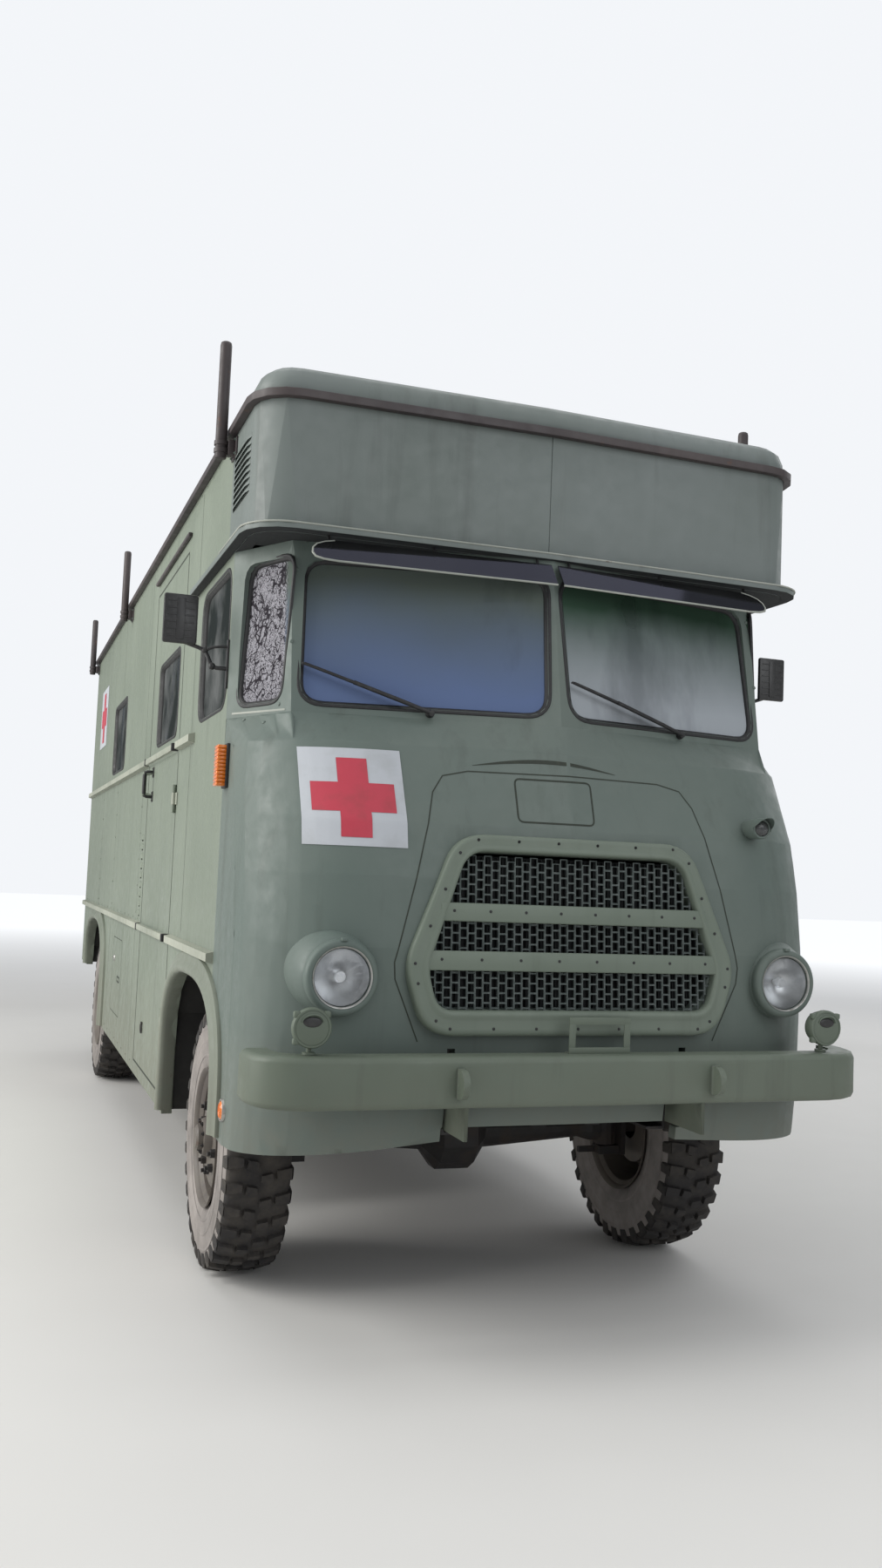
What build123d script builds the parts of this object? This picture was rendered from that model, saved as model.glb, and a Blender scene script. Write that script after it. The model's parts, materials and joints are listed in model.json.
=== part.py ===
from build123d import *
import os
from math import sin, cos, pi, radians, hypot

# Military ambulance truck: panel body with forward cab on a lorry chassis.
# Millimetres. Front faces -Y, the vehicle's left is +X, up is +Z.
# Heights are above the ground. Lengths are first counted from the headlamps
# (y = 0) and every piece is moved by -Y_MID at the end.

os.makedirs("parts", exist_ok=True)

# Main dimensions
HALF_W = 1200.0
Y_REAR = 7950.0
Y_LUG_TIP = -218.0
Y_TAIL = 8020.0
Y_MID = (Y_LUG_TIP + Y_TAIL) / 2
Z_GUTTER = 3541.0
Z_ROOF = 3680.0
Z_SKIRT = 500.0
Z_SKIRT_FRONT = 690.0
Z_SKIRT_REAR = 830.0
Z_SILL = 2312.0
Z_HEAD = 3000.0
Z_FLOOR = 1280.0
Z_BELT = 2309.0
Z_RUB = 1346.0
Y_SEAM = 860.0
Y_BOX_SEAM = 1010.0
WALL = 50.0
PLAY = 6.0

# Wheels
TYRE_R = 550.0
TYRE_W = 290.0
RIM_R = 268.0
HUB_Z = 550.0
FRONT_Y = 1300.0
REAR_Y = 6420.0
FRONT_X = 985.0
TWIN_X = (1015.0, 685.0)
KINGPIN_X = 790.0
STEER = 28.0

# Wheel arches: first y, last y, height where the curve starts, top z
FRONT_ARCH = (620.0, 2110.0, 820.0, 1250.0)
REAR_ARCH = (5600.0, 7240.0, 860.0, 1270.0)
ARCH_LIP = 78.0

# Side entrance door: first y, last y, low z, top z
ENTRY = (2210.0, 3420.0, 580.0, 3300.0)
# Rear double door: half width, low z, top z
REAR_DOOR = (740.0, 1300.0, 3290.0)

PARTS = {}


def add(name, *shapes):
    PARTS.setdefault(name, [])
    for shape in shapes:
        PARTS[name].extend(shape.solids())


def slab(x0, x1, y0, y1, z0, z1):
    solid = Box(abs(x1 - x0), abs(y1 - y0), abs(z1 - z0))
    return Pos((x0 + x1) / 2, (y0 + y1) / 2, (z0 + z1) / 2) * solid


def ring_points(r, n, turn=0.5):
    return [(r * cos(2 * pi * (i + turn) / n), r * sin(2 * pi * (i + turn) / n)) for i in range(n)]


def rod_x(x0, x1, y, z, r, n=12):
    face = make_face(Plane.YZ * Polyline(*ring_points(r, n), close=True))
    return Pos(min(x0, x1), y, z) * extrude(face, abs(x1 - x0), dir=(1, 0, 0))


def rod_y(x, y0, y1, z, r, n=18):
    face = make_face(Plane.XZ * Polyline(*ring_points(r, n), close=True))
    return Pos(x, min(y0, y1), z) * extrude(face, abs(y1 - y0), dir=(0, 1, 0))


def rod_z(x, y, z0, z1, r, n=12):
    face = make_face(Polyline(*ring_points(r, n), close=True))
    return Pos(x, y, min(z0, z1)) * extrude(face, abs(z1 - z0))


def pin_z(x, y, z0, z1, r):
    return Pos(x, y, (z0 + z1) / 2) * Cylinder(r, abs(z1 - z0))


def pin_x(x0, x1, y, z, r):
    return Pos((x0 + x1) / 2, y, z) * Rot(0, 90, 0) * Cylinder(r, abs(x1 - x0))


def closed_skin(patches):
    # solid from flat patches, each a list of corner points
    solid = Solid(Shell([Face(Wire.make_polygon(patch, close=True)) for patch in patches]))
    if solid.volume < 0:
        solid = Solid(Shell([-f for f in solid.faces()]))
    return solid


def tube(points, r, n=6):
    # bar with n sides along points, mitred at the bends
    pts = [Vector(*p) for p in points]
    dirs = [(b - a).normalized() for a, b in zip(pts, pts[1:])]
    side = Vector(0, 0, 1) if abs(dirs[0].Z) < 0.9 else Vector(0, 1, 0)
    rings = []
    frame_x = side.cross(dirs[0]).normalized()
    for i, p in enumerate(pts):
        before, after = dirs[max(i - 1, 0)], dirs[min(i, len(dirs) - 1)]
        normal = (before + after).normalized()
        ring = []
        frame_x = (frame_x - before * frame_x.dot(before)).normalized()
        frame_y = before.cross(frame_x)
        for cx, cy in ring_points(r, n):
            q = frame_x * cx + frame_y * cy
            q = q - before * (q.dot(normal) / before.dot(normal))
            ring.append(p + q)
        rings.append(ring)
    patches = [rings[0], rings[-1]]
    for low, high in zip(rings, rings[1:]):
        for i in range(n):
            k = (i + 1) % n
            patches.extend(([low[i], low[k], high[k]], [low[i], high[k], high[i]]))
    return closed_skin(patches)


def turned_solid(profile, n, place):
    # closed profile in (along the axis, radius) turned in n flat steps; place maps it into space
    def point(k, i):
        h, r = profile[k]
        a = 2 * pi * (i + 0.5) / n
        return place(h, r * cos(a), r * sin(a))

    patches = []
    m = len(profile)
    for k in range(m):
        k2 = (k + 1) % m
        if profile[k][1] == 0 and profile[k2][1] == 0:
            continue
        if profile[k][0] == profile[k2][0] and min(profile[k][1], profile[k2][1]) == 0:
            far = k if profile[k][1] > 0 else k2
            patches.append([point(far, i) for i in range(n)])
            continue
        for i in range(n):
            patches.append([point(k, i), point(k2, i), point(k2, i + 1), point(k, i + 1)])
    return closed_skin(patches)


def mirrored(shape):
    return mirror(shape, about=Plane.YZ)


def both(name, shape):
    add(name, shape)
    add(name, mirrored(shape))


def flat(points, z0, z1):
    face = make_face(Polyline(*[(x, y) for x, y in points], close=True))
    return Pos(0, 0, z0) * extrude(face, z1 - z0)


def side_plate(points, x0, x1):
    # outline given in (y, z), thickness from x0 to x1
    face = make_face(Plane.YZ * Polyline(*[(y, z) for y, z in points], close=True))
    return Pos(min(x0, x1), 0, 0) * extrude(face, abs(x1 - x0), dir=(1, 0, 0))


def round_rect(y0, y1, z0, z1, r, steps=3):
    pts = []
    for cy, cz, a0 in ((y1 - r, z1 - r, 0), (y0 + r, z1 - r, 90), (y0 + r, z0 + r, 180), (y1 - r, z0 + r, 270)):
        for i in range(steps + 1):
            a = radians(a0 + 90 * i / steps)
            pts.append((cy + r * cos(a), cz + r * sin(a)))
    return pts


def offset_line(points, t):
    # open line moved to its left by t
    out = []
    n = len(points)
    for i, (x, y) in enumerate(points):
        dirs = []
        for a, b in ((i - 1, i), (i, i + 1)):
            if a >= 0 and b < n:
                dx = points[b][0] - points[a][0]
                dy = points[b][1] - points[a][1]
                d = hypot(dx, dy)
                dirs.append((dx / d, dy / d))
        nx = sum(-d[1] for d in dirs) / len(dirs)
        ny = sum(d[0] for d in dirs) / len(dirs)
        d = hypot(nx, ny)
        nx, ny = nx / d, ny / d
        c = nx * -dirs[0][1] + ny * dirs[0][0]
        out.append((x + nx * t / c, y + ny * t / c))
    return out


def arch_line(arch, low0, low1, steps=10):
    # rounded arch in (y, z), from its first leg to its last
    y0, y1, spring, top = arch
    mid, half = (y0 + y1) / 2, (y1 - y0) / 2
    line = [(y0, low0)]
    for i in range(steps + 1):
        t = pi * i / steps
        c, d = cos(t), sin(t)
        y = mid - half * (abs(c) ** 0.74) * (1 if c >= 0 else -1)
        line.append((y, spring + (top - spring) * (abs(d) ** 0.74)))
    line.append((y1, low1))
    return line


def band(points, t):
    return list(points) + offset_line(points, t)[::-1]


def ruled(sections):
    # sections: list of (z, closed outline)
    wires = [Wire.make_polygon([Vector(x, y, z) for x, y in pts], close=True) for z, pts in sections]
    return Solid.make_loft(wires, True)


def folded(sections):
    # the same with flat faces only, a twisted strip folded along its diagonal
    rings = [[Vector(x, y, z) for x, y in pts] for z, pts in sections]
    patches = [rings[0], rings[-1]]
    n = len(rings[0])
    for low, high in zip(rings, rings[1:]):
        for i in range(n):
            a, b, c, d = low[i], low[(i + 1) % n], high[(i + 1) % n], high[i]
            normal = (b - a).cross(d - a)
            if abs(normal.dot(c - a)) < 1e-5 * normal.length:
                patches.append([a, b, c, d])
            elif abs(a.X) < abs(b.X):
                patches.extend(([a, b, c], [a, c, d]))
            else:
                patches.extend(([a, b, d], [b, c, d]))
    return closed_skin(patches)


# Plan line of the front at one height, right corner to left corner.
# centre, at the grille's edge, at the screen's outer edge, where the side begins
NOSE = [
    (Z_SKIRT_FRONT - 30, 78, 90, 240, 520),
    (900, 40, 50, 210, 505),
    (1450, 16, 28, 196, 505),
    (1700, 34, 48, 215, 530),
    (1900, 70, 92, 256, 580),
    (2200, 160, 245, 364, 745),
    (Z_SILL, 215, 349.6, 425, 850),
]
NOSE_CORNER = (0, 0, 0, 0.05, 0.15, 0.7, 1.0)
SCREEN = [
    (Z_SILL, 215, 349.6, 425, 850),
    (Z_HEAD, 355, 476.7, 545, 855),
]


def plan_line(row, corner):
    z, centre, grille, outer, side = row
    half = [(0, centre), (660, grille), (1030, outer)]
    n = 4
    for i in range(1, n + 1):
        a = pi / 2 * i / n
        ex = 1030 + (HALF_W - 1030) * sin(a)
        ey = outer + (side - outer) * (1 - cos(a))
        lx = 1030 + (HALF_W - 1030) * i / n
        ly = outer + (side - outer) * i / n
        half.append((ex * (1 - corner) + lx * corner, ey * (1 - corner) + ly * corner))
    half.append((HALF_W, Y_SEAM))
    left = [(x, y) for x, y in half]
    right = [(-x, y) for x, y in half[:0:-1]]
    return right + left


def shell(rows, corners, skin, t=WALL):
    sections = []
    for row, corner in zip(rows, corners):
        line = plan_line(row, corner)
        sections.append((row[0], band(line, t)))
    return skin(sections)


# Front panel below the windscreen, open at the grille, with round headlamp pods
front = shell(NOSE, NOSE_CORNER, ruled)
GRILLE_KEYS = [(-445, 1808), (445, 1808), (580, 1385), (530, 1238), (-530, 1238), (-580, 1385)]
FLANGE_KEYS = [(-432, 1872), (432, 1872), (662, 1395), (575, 1146), (-575, 1146), (-662, 1395)]


def rounded(points, radii, steps=3):
    # closed outline with every corner turned by an arc-like curve
    out = []
    n = len(points)
    for i in range(n):
        a, b, c = points[i - 1], points[i], points[(i + 1) % n]
        d1, d2 = hypot(a[0] - b[0], a[1] - b[1]), hypot(c[0] - b[0], c[1] - b[1])
        r = radii[i]
        p = (b[0] + (a[0] - b[0]) * r / d1, b[1] + (a[1] - b[1]) * r / d1)
        q = (b[0] + (c[0] - b[0]) * r / d2, b[1] + (c[1] - b[1]) * r / d2)
        for k in range(steps + 1):
            t = k / steps
            u, v, w = (1 - t) ** 2, 2 * t * (1 - t), t * t
            out.append((p[0] * u + b[0] * v + q[0] * w, p[1] * u + b[1] * v + q[1] * w))
    return out


grille_hole = rounded(GRILLE_KEYS, (90, 90, 60, 70, 70, 60))
flange_edge = rounded(FLANGE_KEYS, (150, 150, 90, 130, 130, 90))
hole = make_face(Plane.XZ * Polyline(*grille_hole, close=True))
front = front - Pos(0, -150, 0) * extrude(hole, 450, dir=(0, 1, 0))

# the skirt hangs lower on the right, is cut away in the middle and split on the left
skirt = [(-1300, 600), (-1300, 676), (-490, 762), (-490, 812), (405, 816), (405, 930), (468, 930), (468, 742),
         (1300, 700), (1300, 600)]
skirt = make_face(Plane.XZ * Polyline(*skirt, close=True))
front = front - Pos(0, -200, 0) * extrude(skirt, 1200, dir=(0, 1, 0))
arch = side_plate(arch_line(FRONT_ARCH, 400, 400), -1300, 1300)
front = front - (arch & (slab(-1300, -1100, 0, 1000, 0, 2000) + slab(1100, 1300, 0, 1000, 0, 2000)))
for s in (-1, 1):
    front = front - slab(s * 455, s * 485, -100, 400, 790, 1095)

POD = [(104, 22), (124, 34), (146, 90), (155, 330), (138, 330), (136, 80), (104, 60)]
for s in (-1, 1):
    # profile in (radius, y) turned about the lamp's own line
    pod = turned_solid([(y, r) for r, y in POD], 20, lambda h, u, v, s=s: Vector(s * 897 + u, h, 1347 + v))
    front = front - rod_y(s * 897, 70, 400, 1347, 138) + pod
front = front.solids().sort_by(SortBy.VOLUME)[-1]
add("cab_front", front)

# Windscreen surround with two screens and a window in each corner plate
screen = shell(SCREEN, (1.0, 1.0), folded)


def pane_plane(p_low, q_low, p_top):
    # plane with x along the sill and y up the pane
    o = Vector(*p_low)
    u = (Vector(*q_low) - o).normalized()
    v = Vector(*p_top) - o
    n = u.cross(v).normalized()
    return Plane(origin=o, x_dir=u, z_dir=n), v.length


def screen_y(x, z):
    f = (z - Z_SILL) / (Z_HEAD - Z_SILL)
    rows = []
    for row in SCREEN:
        rows.append((row[1] + (row[3] - row[1]) * abs(x) / 1030.0))
    return rows[0] * (1 - f) + rows[1] * f


def corner_point(t, z):
    f = (z - Z_SILL) / (Z_HEAD - Z_SILL)
    y0 = SCREEN[0][3] * (1 - f) + SCREEN[1][3] * f
    y1 = SCREEN[0][4] * (1 - f) + SCREEN[1][4] * f
    return (1030 + 170 * t, y0 + (y1 - y0) * t, z)


def pane_solid(pts, depth0, depth1, plane):
    face = make_face(plane * Polyline(*pts, close=True))
    return extrude(face.moved(Location(plane.z_dir * depth0)), depth1 - depth0, dir=plane.z_dir)


SCREEN_PANE = (50, 1000, 2350, 2930)
for s in (-1, 1):
    x0, x1, z0, z1 = SCREEN_PANE
    a = (s * x0, screen_y(x0, z0), z0)
    b = (s * x1, screen_y(x1, z0), z0)
    c = (s * x0, screen_y(x0, z1), z1)
    plane, height = pane_plane(a, b, c)
    width = (Vector(*b) - Vector(*a)).length
    outline = round_rect(0, width, 0, height, 75)
    inside = outline
    toward = 1 if plane.z_dir.Y > 0 else -1
    screen = screen - pane_solid(outline, -90 , 120, plane)
    add("window_glass", pane_solid(inside, toward * 14, toward * 20, plane))
for s in (-1, 1):
    z0, z1 = 2360, 2930
    a = corner_point(0.16, z0)
    b = corner_point(0.84, z0)
    c = corner_point(0.16, z1)
    a, b, c = [(s * p[0], p[1], p[2]) for p in (a, b, c)]
    plane, height = pane_plane(a, b, c)
    width = (Vector(*b) - Vector(*a)).length
    outline = round_rect(0, width, 0, height, 60)
    inside = outline
    toward = 1 if plane.z_dir.Y > 0 else -1
    screen = screen - pane_solid(outline, -90, 90, plane)
    add("window_glass", pane_solid(inside, toward * 14, toward * 20, plane))
add("screen_frame", screen)

# Box above the windscreen, flat in front with rounded corners
def box_line(front_mid, front_end, r, half, n=4, y_end=Y_BOX_SEAM):
    line = [(0, front_mid), (half - r, front_end)]
    for i in range(1, n + 1):
        a = pi / 2 * i / n
        line.append((half - r + r * sin(a), front_end + r - r * cos(a)))
    line.append((half, y_end))
    return [(-x, y) for x, y in line[:0:-1]] + line


BOX = (400, 425, 160)
line = box_line(*BOX, HALF_W)
roof_box = flat(band(line, WALL), Z_HEAD + 20, Z_GUTTER)
roof_box = roof_box + flat(line, Z_HEAD, Z_HEAD + 20)
roof_box = roof_box - slab(-1150, 1150, 690, 1100, Z_HEAD - 5, Z_HEAD + 25)
# nine air slots in each side, and the joint between the front's two sheets
for s in (-1, 1):
    for i in range(9):
        z = 3190 + 27 * i
        roof_box = roof_box - slab(s * 1140, s * 1260, 610, 960, z, z + 10)
roof_box = roof_box - slab(-2, 2, 300, 404, Z_HEAD + 30, Z_GUTTER)
lip = flat(box_line(335, 362, 190, HALF_W + 42), Z_HEAD, Z_HEAD + 28)
lip = lip - flat(box_line(*BOX, HALF_W), Z_HEAD - 20, Z_HEAD + 40)
add("roof_box", roof_box)

# Side walls
def side_outline():
    front_line = arch_line(FRONT_ARCH, Z_SKIRT, Z_SKIRT)
    rear_line = arch_line(REAR_ARCH, Z_SKIRT, Z_SKIRT_REAR)
    start = [(y, z) for y, z in front_line if y > Y_SEAM]
    top = front_line[[y for y, z in front_line].index(start[0][0]) - 1]
    f = (Y_SEAM - top[0]) / (start[0][0] - top[0])
    edge_z = top[1] + (start[0][1] - top[1]) * f
    low = [(REAR_ARCH[0] - ARCH_LIP - 20, Z_SKIRT)]
    return ([(Y_BOX_SEAM, Z_GUTTER), (Y_BOX_SEAM, Z_HEAD), (Y_SEAM, Z_HEAD), (Y_SEAM, edge_z)] + start +
            rear_line + [(Y_REAR - 150, Z_SKIRT_REAR), (Y_REAR - 150, Z_GUTTER)])


SIDE_WINDOWS = [
    (895, 1610, 2375, 2950, 90),
    (4980, 5840, 2390, 2890, 60),
]
for s, name in ((-1, "side_wall_right"), (1, "side_wall_left")):
    x0, x1 = s * HALF_W, s * (HALF_W - WALL)
    wall = side_plate(side_outline(), x0, x1)
    wall = wall - slab(s * 1000, s * 1300, ENTRY[0] - PLAY, ENTRY[1] + PLAY, ENTRY[2] - PLAY, ENTRY[3] + PLAY)
    for y0, y1, z0, z1, r in SIDE_WINDOWS:
        wall = wall - side_plate(round_rect(y0, y1, z0, z1, r), s * 1100, s * 1300)
        pane = side_plate(round_rect(y0, y1, z0, z1, r), s * 1180, s * 1174)
        add("window_glass", pane)
    # column of small air slots behind the entrance door
    for i in range(9):
        wall = wall - slab(s * 1100, s * 1300, 3530, 3595, 1400 + 56 * i, 1418 + 56 * i)
    add(name, wall)
    # rolled flange round each arch
    for arch, low0, low1 in ((FRONT_ARCH, 700, Z_SKIRT + 20), (REAR_ARCH, Z_SKIRT + 10, Z_SKIRT_REAR + 10)):
        edge = arch_line(arch, low0, low1)
        wide = make_face(Plane.YZ * Polyline(*[(y, z) for y, z in band(edge, ARCH_LIP)], close=True))
        crown = make_face(Plane.YZ * Polyline(*[(y, z) for y, z in band(edge, ARCH_LIP - 30)], close=True))
        low_part = extrude(wide, 16, dir=(1, 0, 0))
        high_part = Pos(16, 0, 0) * extrude(crown, 14, dir=(1, 0, 0))
        flange = Pos(HALF_W, 0, 0) * (low_part + high_part)
        add("side_rails", flange if s > 0 else mirrored(flange))

def hinge(x, y, z, to_body, to_leaf, half=70):
    # three-part butt hinge; the leaves are flat plates (x0, x1, y0, y1)
    fixed = rod_z(x, y, z - 30, z + 30, 12, 8) + slab(*to_body, z - 30, z + 30)
    fixed = fixed - rod_z(x, y, z - 31, z + 31, 7.9, 8)
    leaf = pin_z(x, y, z - 33, z + 33, 7)
    for z0, z1 in ((z - half, z - 31), (z + 31, z + half)):
        leaf = leaf + rod_z(x, y, z0, z1, 12, 8) + slab(*to_leaf, z0, z1)
    return fixed, leaf


# Side entrance doors, hinged at the front edge
HINGE_X = HALF_W + 12
HINGE_Y = ENTRY[0] - 3
DOOR_WINDOW = (2330, 3120, 2385, 2835, 50)
for s, side in ((-1, "right"), (1, "left")):
    door = slab(s * HALF_W, s * (HALF_W - WALL), *ENTRY)
    y0, y1, z0, z1, r = DOOR_WINDOW
    door = door - side_plate(round_rect(y0, y1, z0, z1, r), s * 1100, s * 1300)
    door = door + slab(s * (HALF_W - 1), s * 1228, ENTRY[0] + 25, ENTRY[1] - 4, Z_BELT - 22, Z_BELT + 22)
    door = door + slab(s * (HALF_W - 1), s * 1228, ENTRY[0] + 25, ENTRY[1] - 4, Z_RUB - 22, Z_RUB + 22)
    handle = tube([(s * 1195, 3205, 2240), (s * 1250, 3205, 2230), (s * 1250, 3205, 2110), (s * 1195, 3205, 2100)], 11)
    door = door + handle
    for z in (925, 2045):
        body_leaf = (s * HALF_W, s * (HALF_W + 6), ENTRY[0] - 60, HINGE_Y)
        door_leaf = (s * HALF_W, s * (HALF_W + 6), HINGE_Y, ENTRY[0] + 55)
        fixed, leaf = hinge(s * HINGE_X, HINGE_Y, z, body_leaf, door_leaf)
        door = door + leaf
        add("side_rails", fixed)
    add("entry_door_" + side, door)
    add("entry_glass_" + side, side_plate(round_rect(y0, y1, z0, z1, r), s * 1180, s * 1174))

# Roof cap with rounded edges
roof_line = box_line(BOX[0], BOX[1], BOX[2], HALF_W)
REAR_CORNER = [(HALF_W, Y_REAR - 120), (HALF_W - 16, Y_REAR - 60), (HALF_W - 60, Y_REAR - 16), (HALF_W - 120, Y_REAR)]
outline = roof_line + REAR_CORNER + [(-x, y) for x, y in REAR_CORNER[::-1]]


def inset(points, d):
    closed = list(points)
    n = len(closed)
    out = []
    for i in range(n):
        a, b, c = closed[i - 1], closed[i], closed[(i + 1) % n]
        d1 = (b[0] - a[0], b[1] - a[1])
        d2 = (c[0] - b[0], c[1] - b[1])
        l1, l2 = hypot(*d1), hypot(*d2)
        n1 = (-d1[1] / l1, d1[0] / l1)
        n2 = (-d2[1] / l2, d2[0] / l2)
        nx, ny = n1[0] + n2[0], n1[1] + n2[1]
        ln = hypot(nx, ny)
        nx, ny = nx / ln, ny / ln
        k = nx * n1[0] + ny * n1[1]
        out.append((b[0] + nx * d / k, b[1] + ny * d / k))
    return out


CAP = [(0, 0), (55, 4), (100, 22), (128, 60), (139, 110)]
sections = [(Z_GUTTER + h, inset(outline, d)) for h, d in CAP]
outer = ruled(sections)
inner = ruled([(Z_GUTTER - 1, inset(outline, WALL)), (Z_GUTTER + 60, inset(outline, WALL + 10)),
               (Z_GUTTER + 98, inset(outline, WALL + 60))])
add("roof", outer - inner)

# Drip gutter round the roof, ledge under the box with its side drip rails
ring = flat(inset(outline, -34), Z_GUTTER - 18, Z_GUTTER + 16) - flat(inset(outline, 0), Z_GUTTER - 40, Z_GUTTER + 40)
add("gutter", ring)
for s in (-1, 1):
    lip = lip + slab(s * HALF_W, s * 1242, Y_BOX_SEAM - 1, 1820, Z_HEAD, Z_HEAD + 28)
add("gutter", lip)
for s in (-1, 1):
    add("gutter", slab(s * HALF_W, s * 1222, 2130, 3440, 3372, 3392))

# Rear wall with rounded corners and a double-door opening
rear_line = [(HALF_W, Y_REAR - 150)] + REAR_CORNER
rear_line = rear_line + [(-x, y) for x, y in rear_line[::-1]]
rear = flat(band(rear_line, WALL), Z_SKIRT_REAR, Z_GUTTER)
w, z0, z1 = REAR_DOOR
rear = rear - slab(-w - PLAY, w + PLAY, Y_REAR - 300, Y_REAR + 50, z0 - PLAY, z1 + PLAY)
rear = rear - slab(-86, 86, Y_REAR - 120, Y_REAR + 20, Z_SKIRT_REAR - 10, 936)
add("rear_wall", rear)
for s, side in ((-1, "right"), (1, "left")):
    leaf = slab(s * 4, s * w, Y_REAR - WALL, Y_REAR, z0, z1)
    for z in (z0 + 300, z1 - 300):
        axis_x = w + 3
        body_leaf = (s * axis_x, s * (axis_x + 60), Y_REAR, Y_REAR + 6)
        door_leaf = (s * axis_x, s * (axis_x - 60), Y_REAR, Y_REAR + 6)
        fixed, moving = hinge(s * axis_x, Y_REAR + 12, z, body_leaf, door_leaf)
        leaf = leaf + moving
        add("side_rails", fixed)
    if s > 0:
        leaf = leaf + slab(40, 180, Y_REAR - 1, Y_REAR + 40, 2040, 2070)
    add("rear_door_" + side, leaf)

# Floor with a stepwell behind each entrance door
floor = slab(-1145, 1145, 560, Y_REAR - 160, Z_FLOOR - 30, Z_FLOOR)
floor = floor + slab(-1040, 1040, Y_REAR - 161, Y_REAR - WALL, Z_FLOOR - 30, Z_FLOOR)
for s in (-1, 1):
    floor = floor - slab(s * 800, s * 1200, ENTRY[0] + 20, ENTRY[1] - 20, 1000, 1400)
    floor = floor + slab(s * 780, s * 800, ENTRY[0] + 20, ENTRY[1] - 20, 680, Z_FLOOR)
    for step, (reach, z) in enumerate(((1140, 680), (980, 980))):
        floor = floor + slab(s * 790, s * reach, ENTRY[0] + 20, ENTRY[1] - 20, z, z + 20)
    for y in (ENTRY[0] + 5, ENTRY[1] - 20):
        floor = floor + slab(s * 780, s * 1140, y, y + 15, 680, Z_FLOOR)
add("floor", floor)

# Wheel houses under the floor
def house(y0, y1, z_top, low0, low1, x0, x1):
    pts = [(y0, low0), (y0, z_top - 260), (y0 + 90, z_top - 90), (y0 + 300, z_top)]
    pts = pts + [(y1 - 300, z_top), (y1 - 90, z_top - 90), (y1, z_top - 260), (y1, low1)]
    outline = band(pts, -12)
    plates = [side_plate(outline, s * x0, s * x1) for s in (-1, 1)]
    return plates


for plate in house(604, 2130, 1250, 720, 520, 520, 1150):
    add("wheel_houses", plate)
for plate in house(5580, 7260, 1250, 620, 850, 520, 1150):
    add("wheel_houses", plate)

# Rails along the sides
for s in (-1, 1):
    for z, runs in ((Z_BELT, ((1690, 2150), (3445, 7790))), (Z_RUB, ((870, 2150), (3445, 7790)))):
        for y0, y1 in runs:
            add("side_rails", slab(s * HALF_W, s * 1230, y0, y1, z - 24, z + 24))

# Grille frame with two bars, and the mesh behind it
def lean(points, t0, t1):
    # plate whose front leans back with height
    solid = make_face(Plane.XZ * Polyline(*points, close=True))
    solid = extrude(solid, t1 - t0, dir=(0, 1, 0))
    return Pos(0, t0, 0) * solid


frame = lean(flange_edge, 0, 80)
frame = frame + lean(inset(flange_edge, 34), -9, 10)
frame = frame - lean(grille_hole, -40, 90)
for z0, z1, w in ((1553, 1620, 540), (1377, 1448, 585)):
    frame = frame + slab(-w, w, -9, 14, z0, z1)
place = Pos(0, -14, 1150) * Rot(-4.2, 0, 0) * Pos(0, 0, -1150)
frame = place * frame
mesh = place * lean(grille_hole, 18, 22) - front
frame = (frame - front).solids().sort_by(SortBy.VOLUME)[-1]
add("grille_frame", frame)
add("grille_mesh", mesh)
front = PARTS["cab_front"][0]

# Sun visors hung from the ledge
for s in (-1, 1):
    blade = side_plate([(352, 3000), (246, 2862), (241, 2866), (344, 3000)], 0, 1000)
    blade = Rot(0, 0, 3.4) * blade
    blade = Pos(14, 0, 0) * blade
    if s < 0:
        blade = mirrored(blade)
    add("visors", blade)

# Bumper: pressed channel with rounded ends and edges, half-moon lugs, irons to the frame
bump = [(-1222, 110), (-1220, 40), (-1202, -28), (-1164, -82), (-1104, -120), (-1030, -138), (0, -148)]
bump = bump + [(-x, y) for x, y in bump[-2::-1]]


def bump_section(z, back, inner):
    line = offset_line(bump, back)
    return (z, line + offset_line(bump, inner)[::-1])


BUMP_OUT = [(912, 26, 95), (918, 9, 95), (936, 0, 95), (1068, 0, 95), (1086, 9, 95), (1092, 26, 95)]
BUMP_IN = [(926, 40, 120), (940, 14, 120), (1064, 14, 120), (1078, 40, 120)]
bumper = ruled([bump_section(*row) for row in BUMP_OUT]) - ruled([bump_section(*row) for row in BUMP_IN])
for s in (-1, 1):
    iron = slab(s * 460, s * 474, -130, 330, 800, 1060)
    half_moon = rod_x(s * 488, s * 512, -148, 1002, 52, 16) & slab(-2000, 2000, -300, -132, 0, 2000)
    lug = slab(s * 488, s * 512, -166, -132, 950, 1054) + Pos(0, -18, 0) * half_moon
    bumper = bumper + iron + lug
add("bumper", bumper.solids().sort_by(SortBy.VOLUME)[-1])

# Lamps
for s in (-1, 1):
    rim = rod_y(s * 897, 0, 26, 1347, 128) - rod_y(s * 897, -10, 40, 1347, 98)
    add("lamp_housings", rim)
    add("lamp_lenses", rod_y(s * 897, 8, 20, 1347, 98))
    lamp = rod_y(s * 1020, -105, -35, 1185, 62) + slab(s * 1010, s * 1030, -90, -60, 1092, 1140)
    add("lamp_housings", lamp)
    add("amber_lamps", slab(s * 1190, s * 1222, 760, 850, 2030, 2200))
    add("amber_lamps", rod_x(s * 1170, s * 1212, 485, 812, 42))
add("lamp_housings", rod_y(800, 40, 180, 1950, 40))

# Posts at the roof edge
for s in (-1, 1):
    for y in (980, 4950, 7780):
        post = rod_z(s * 1262, y, 3420, 3925, 25, 8)
        post = post + slab(s * HALF_W, s * 1250, y - 30, y + 30, 3440, 3500)
        add("posts", post)

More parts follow.
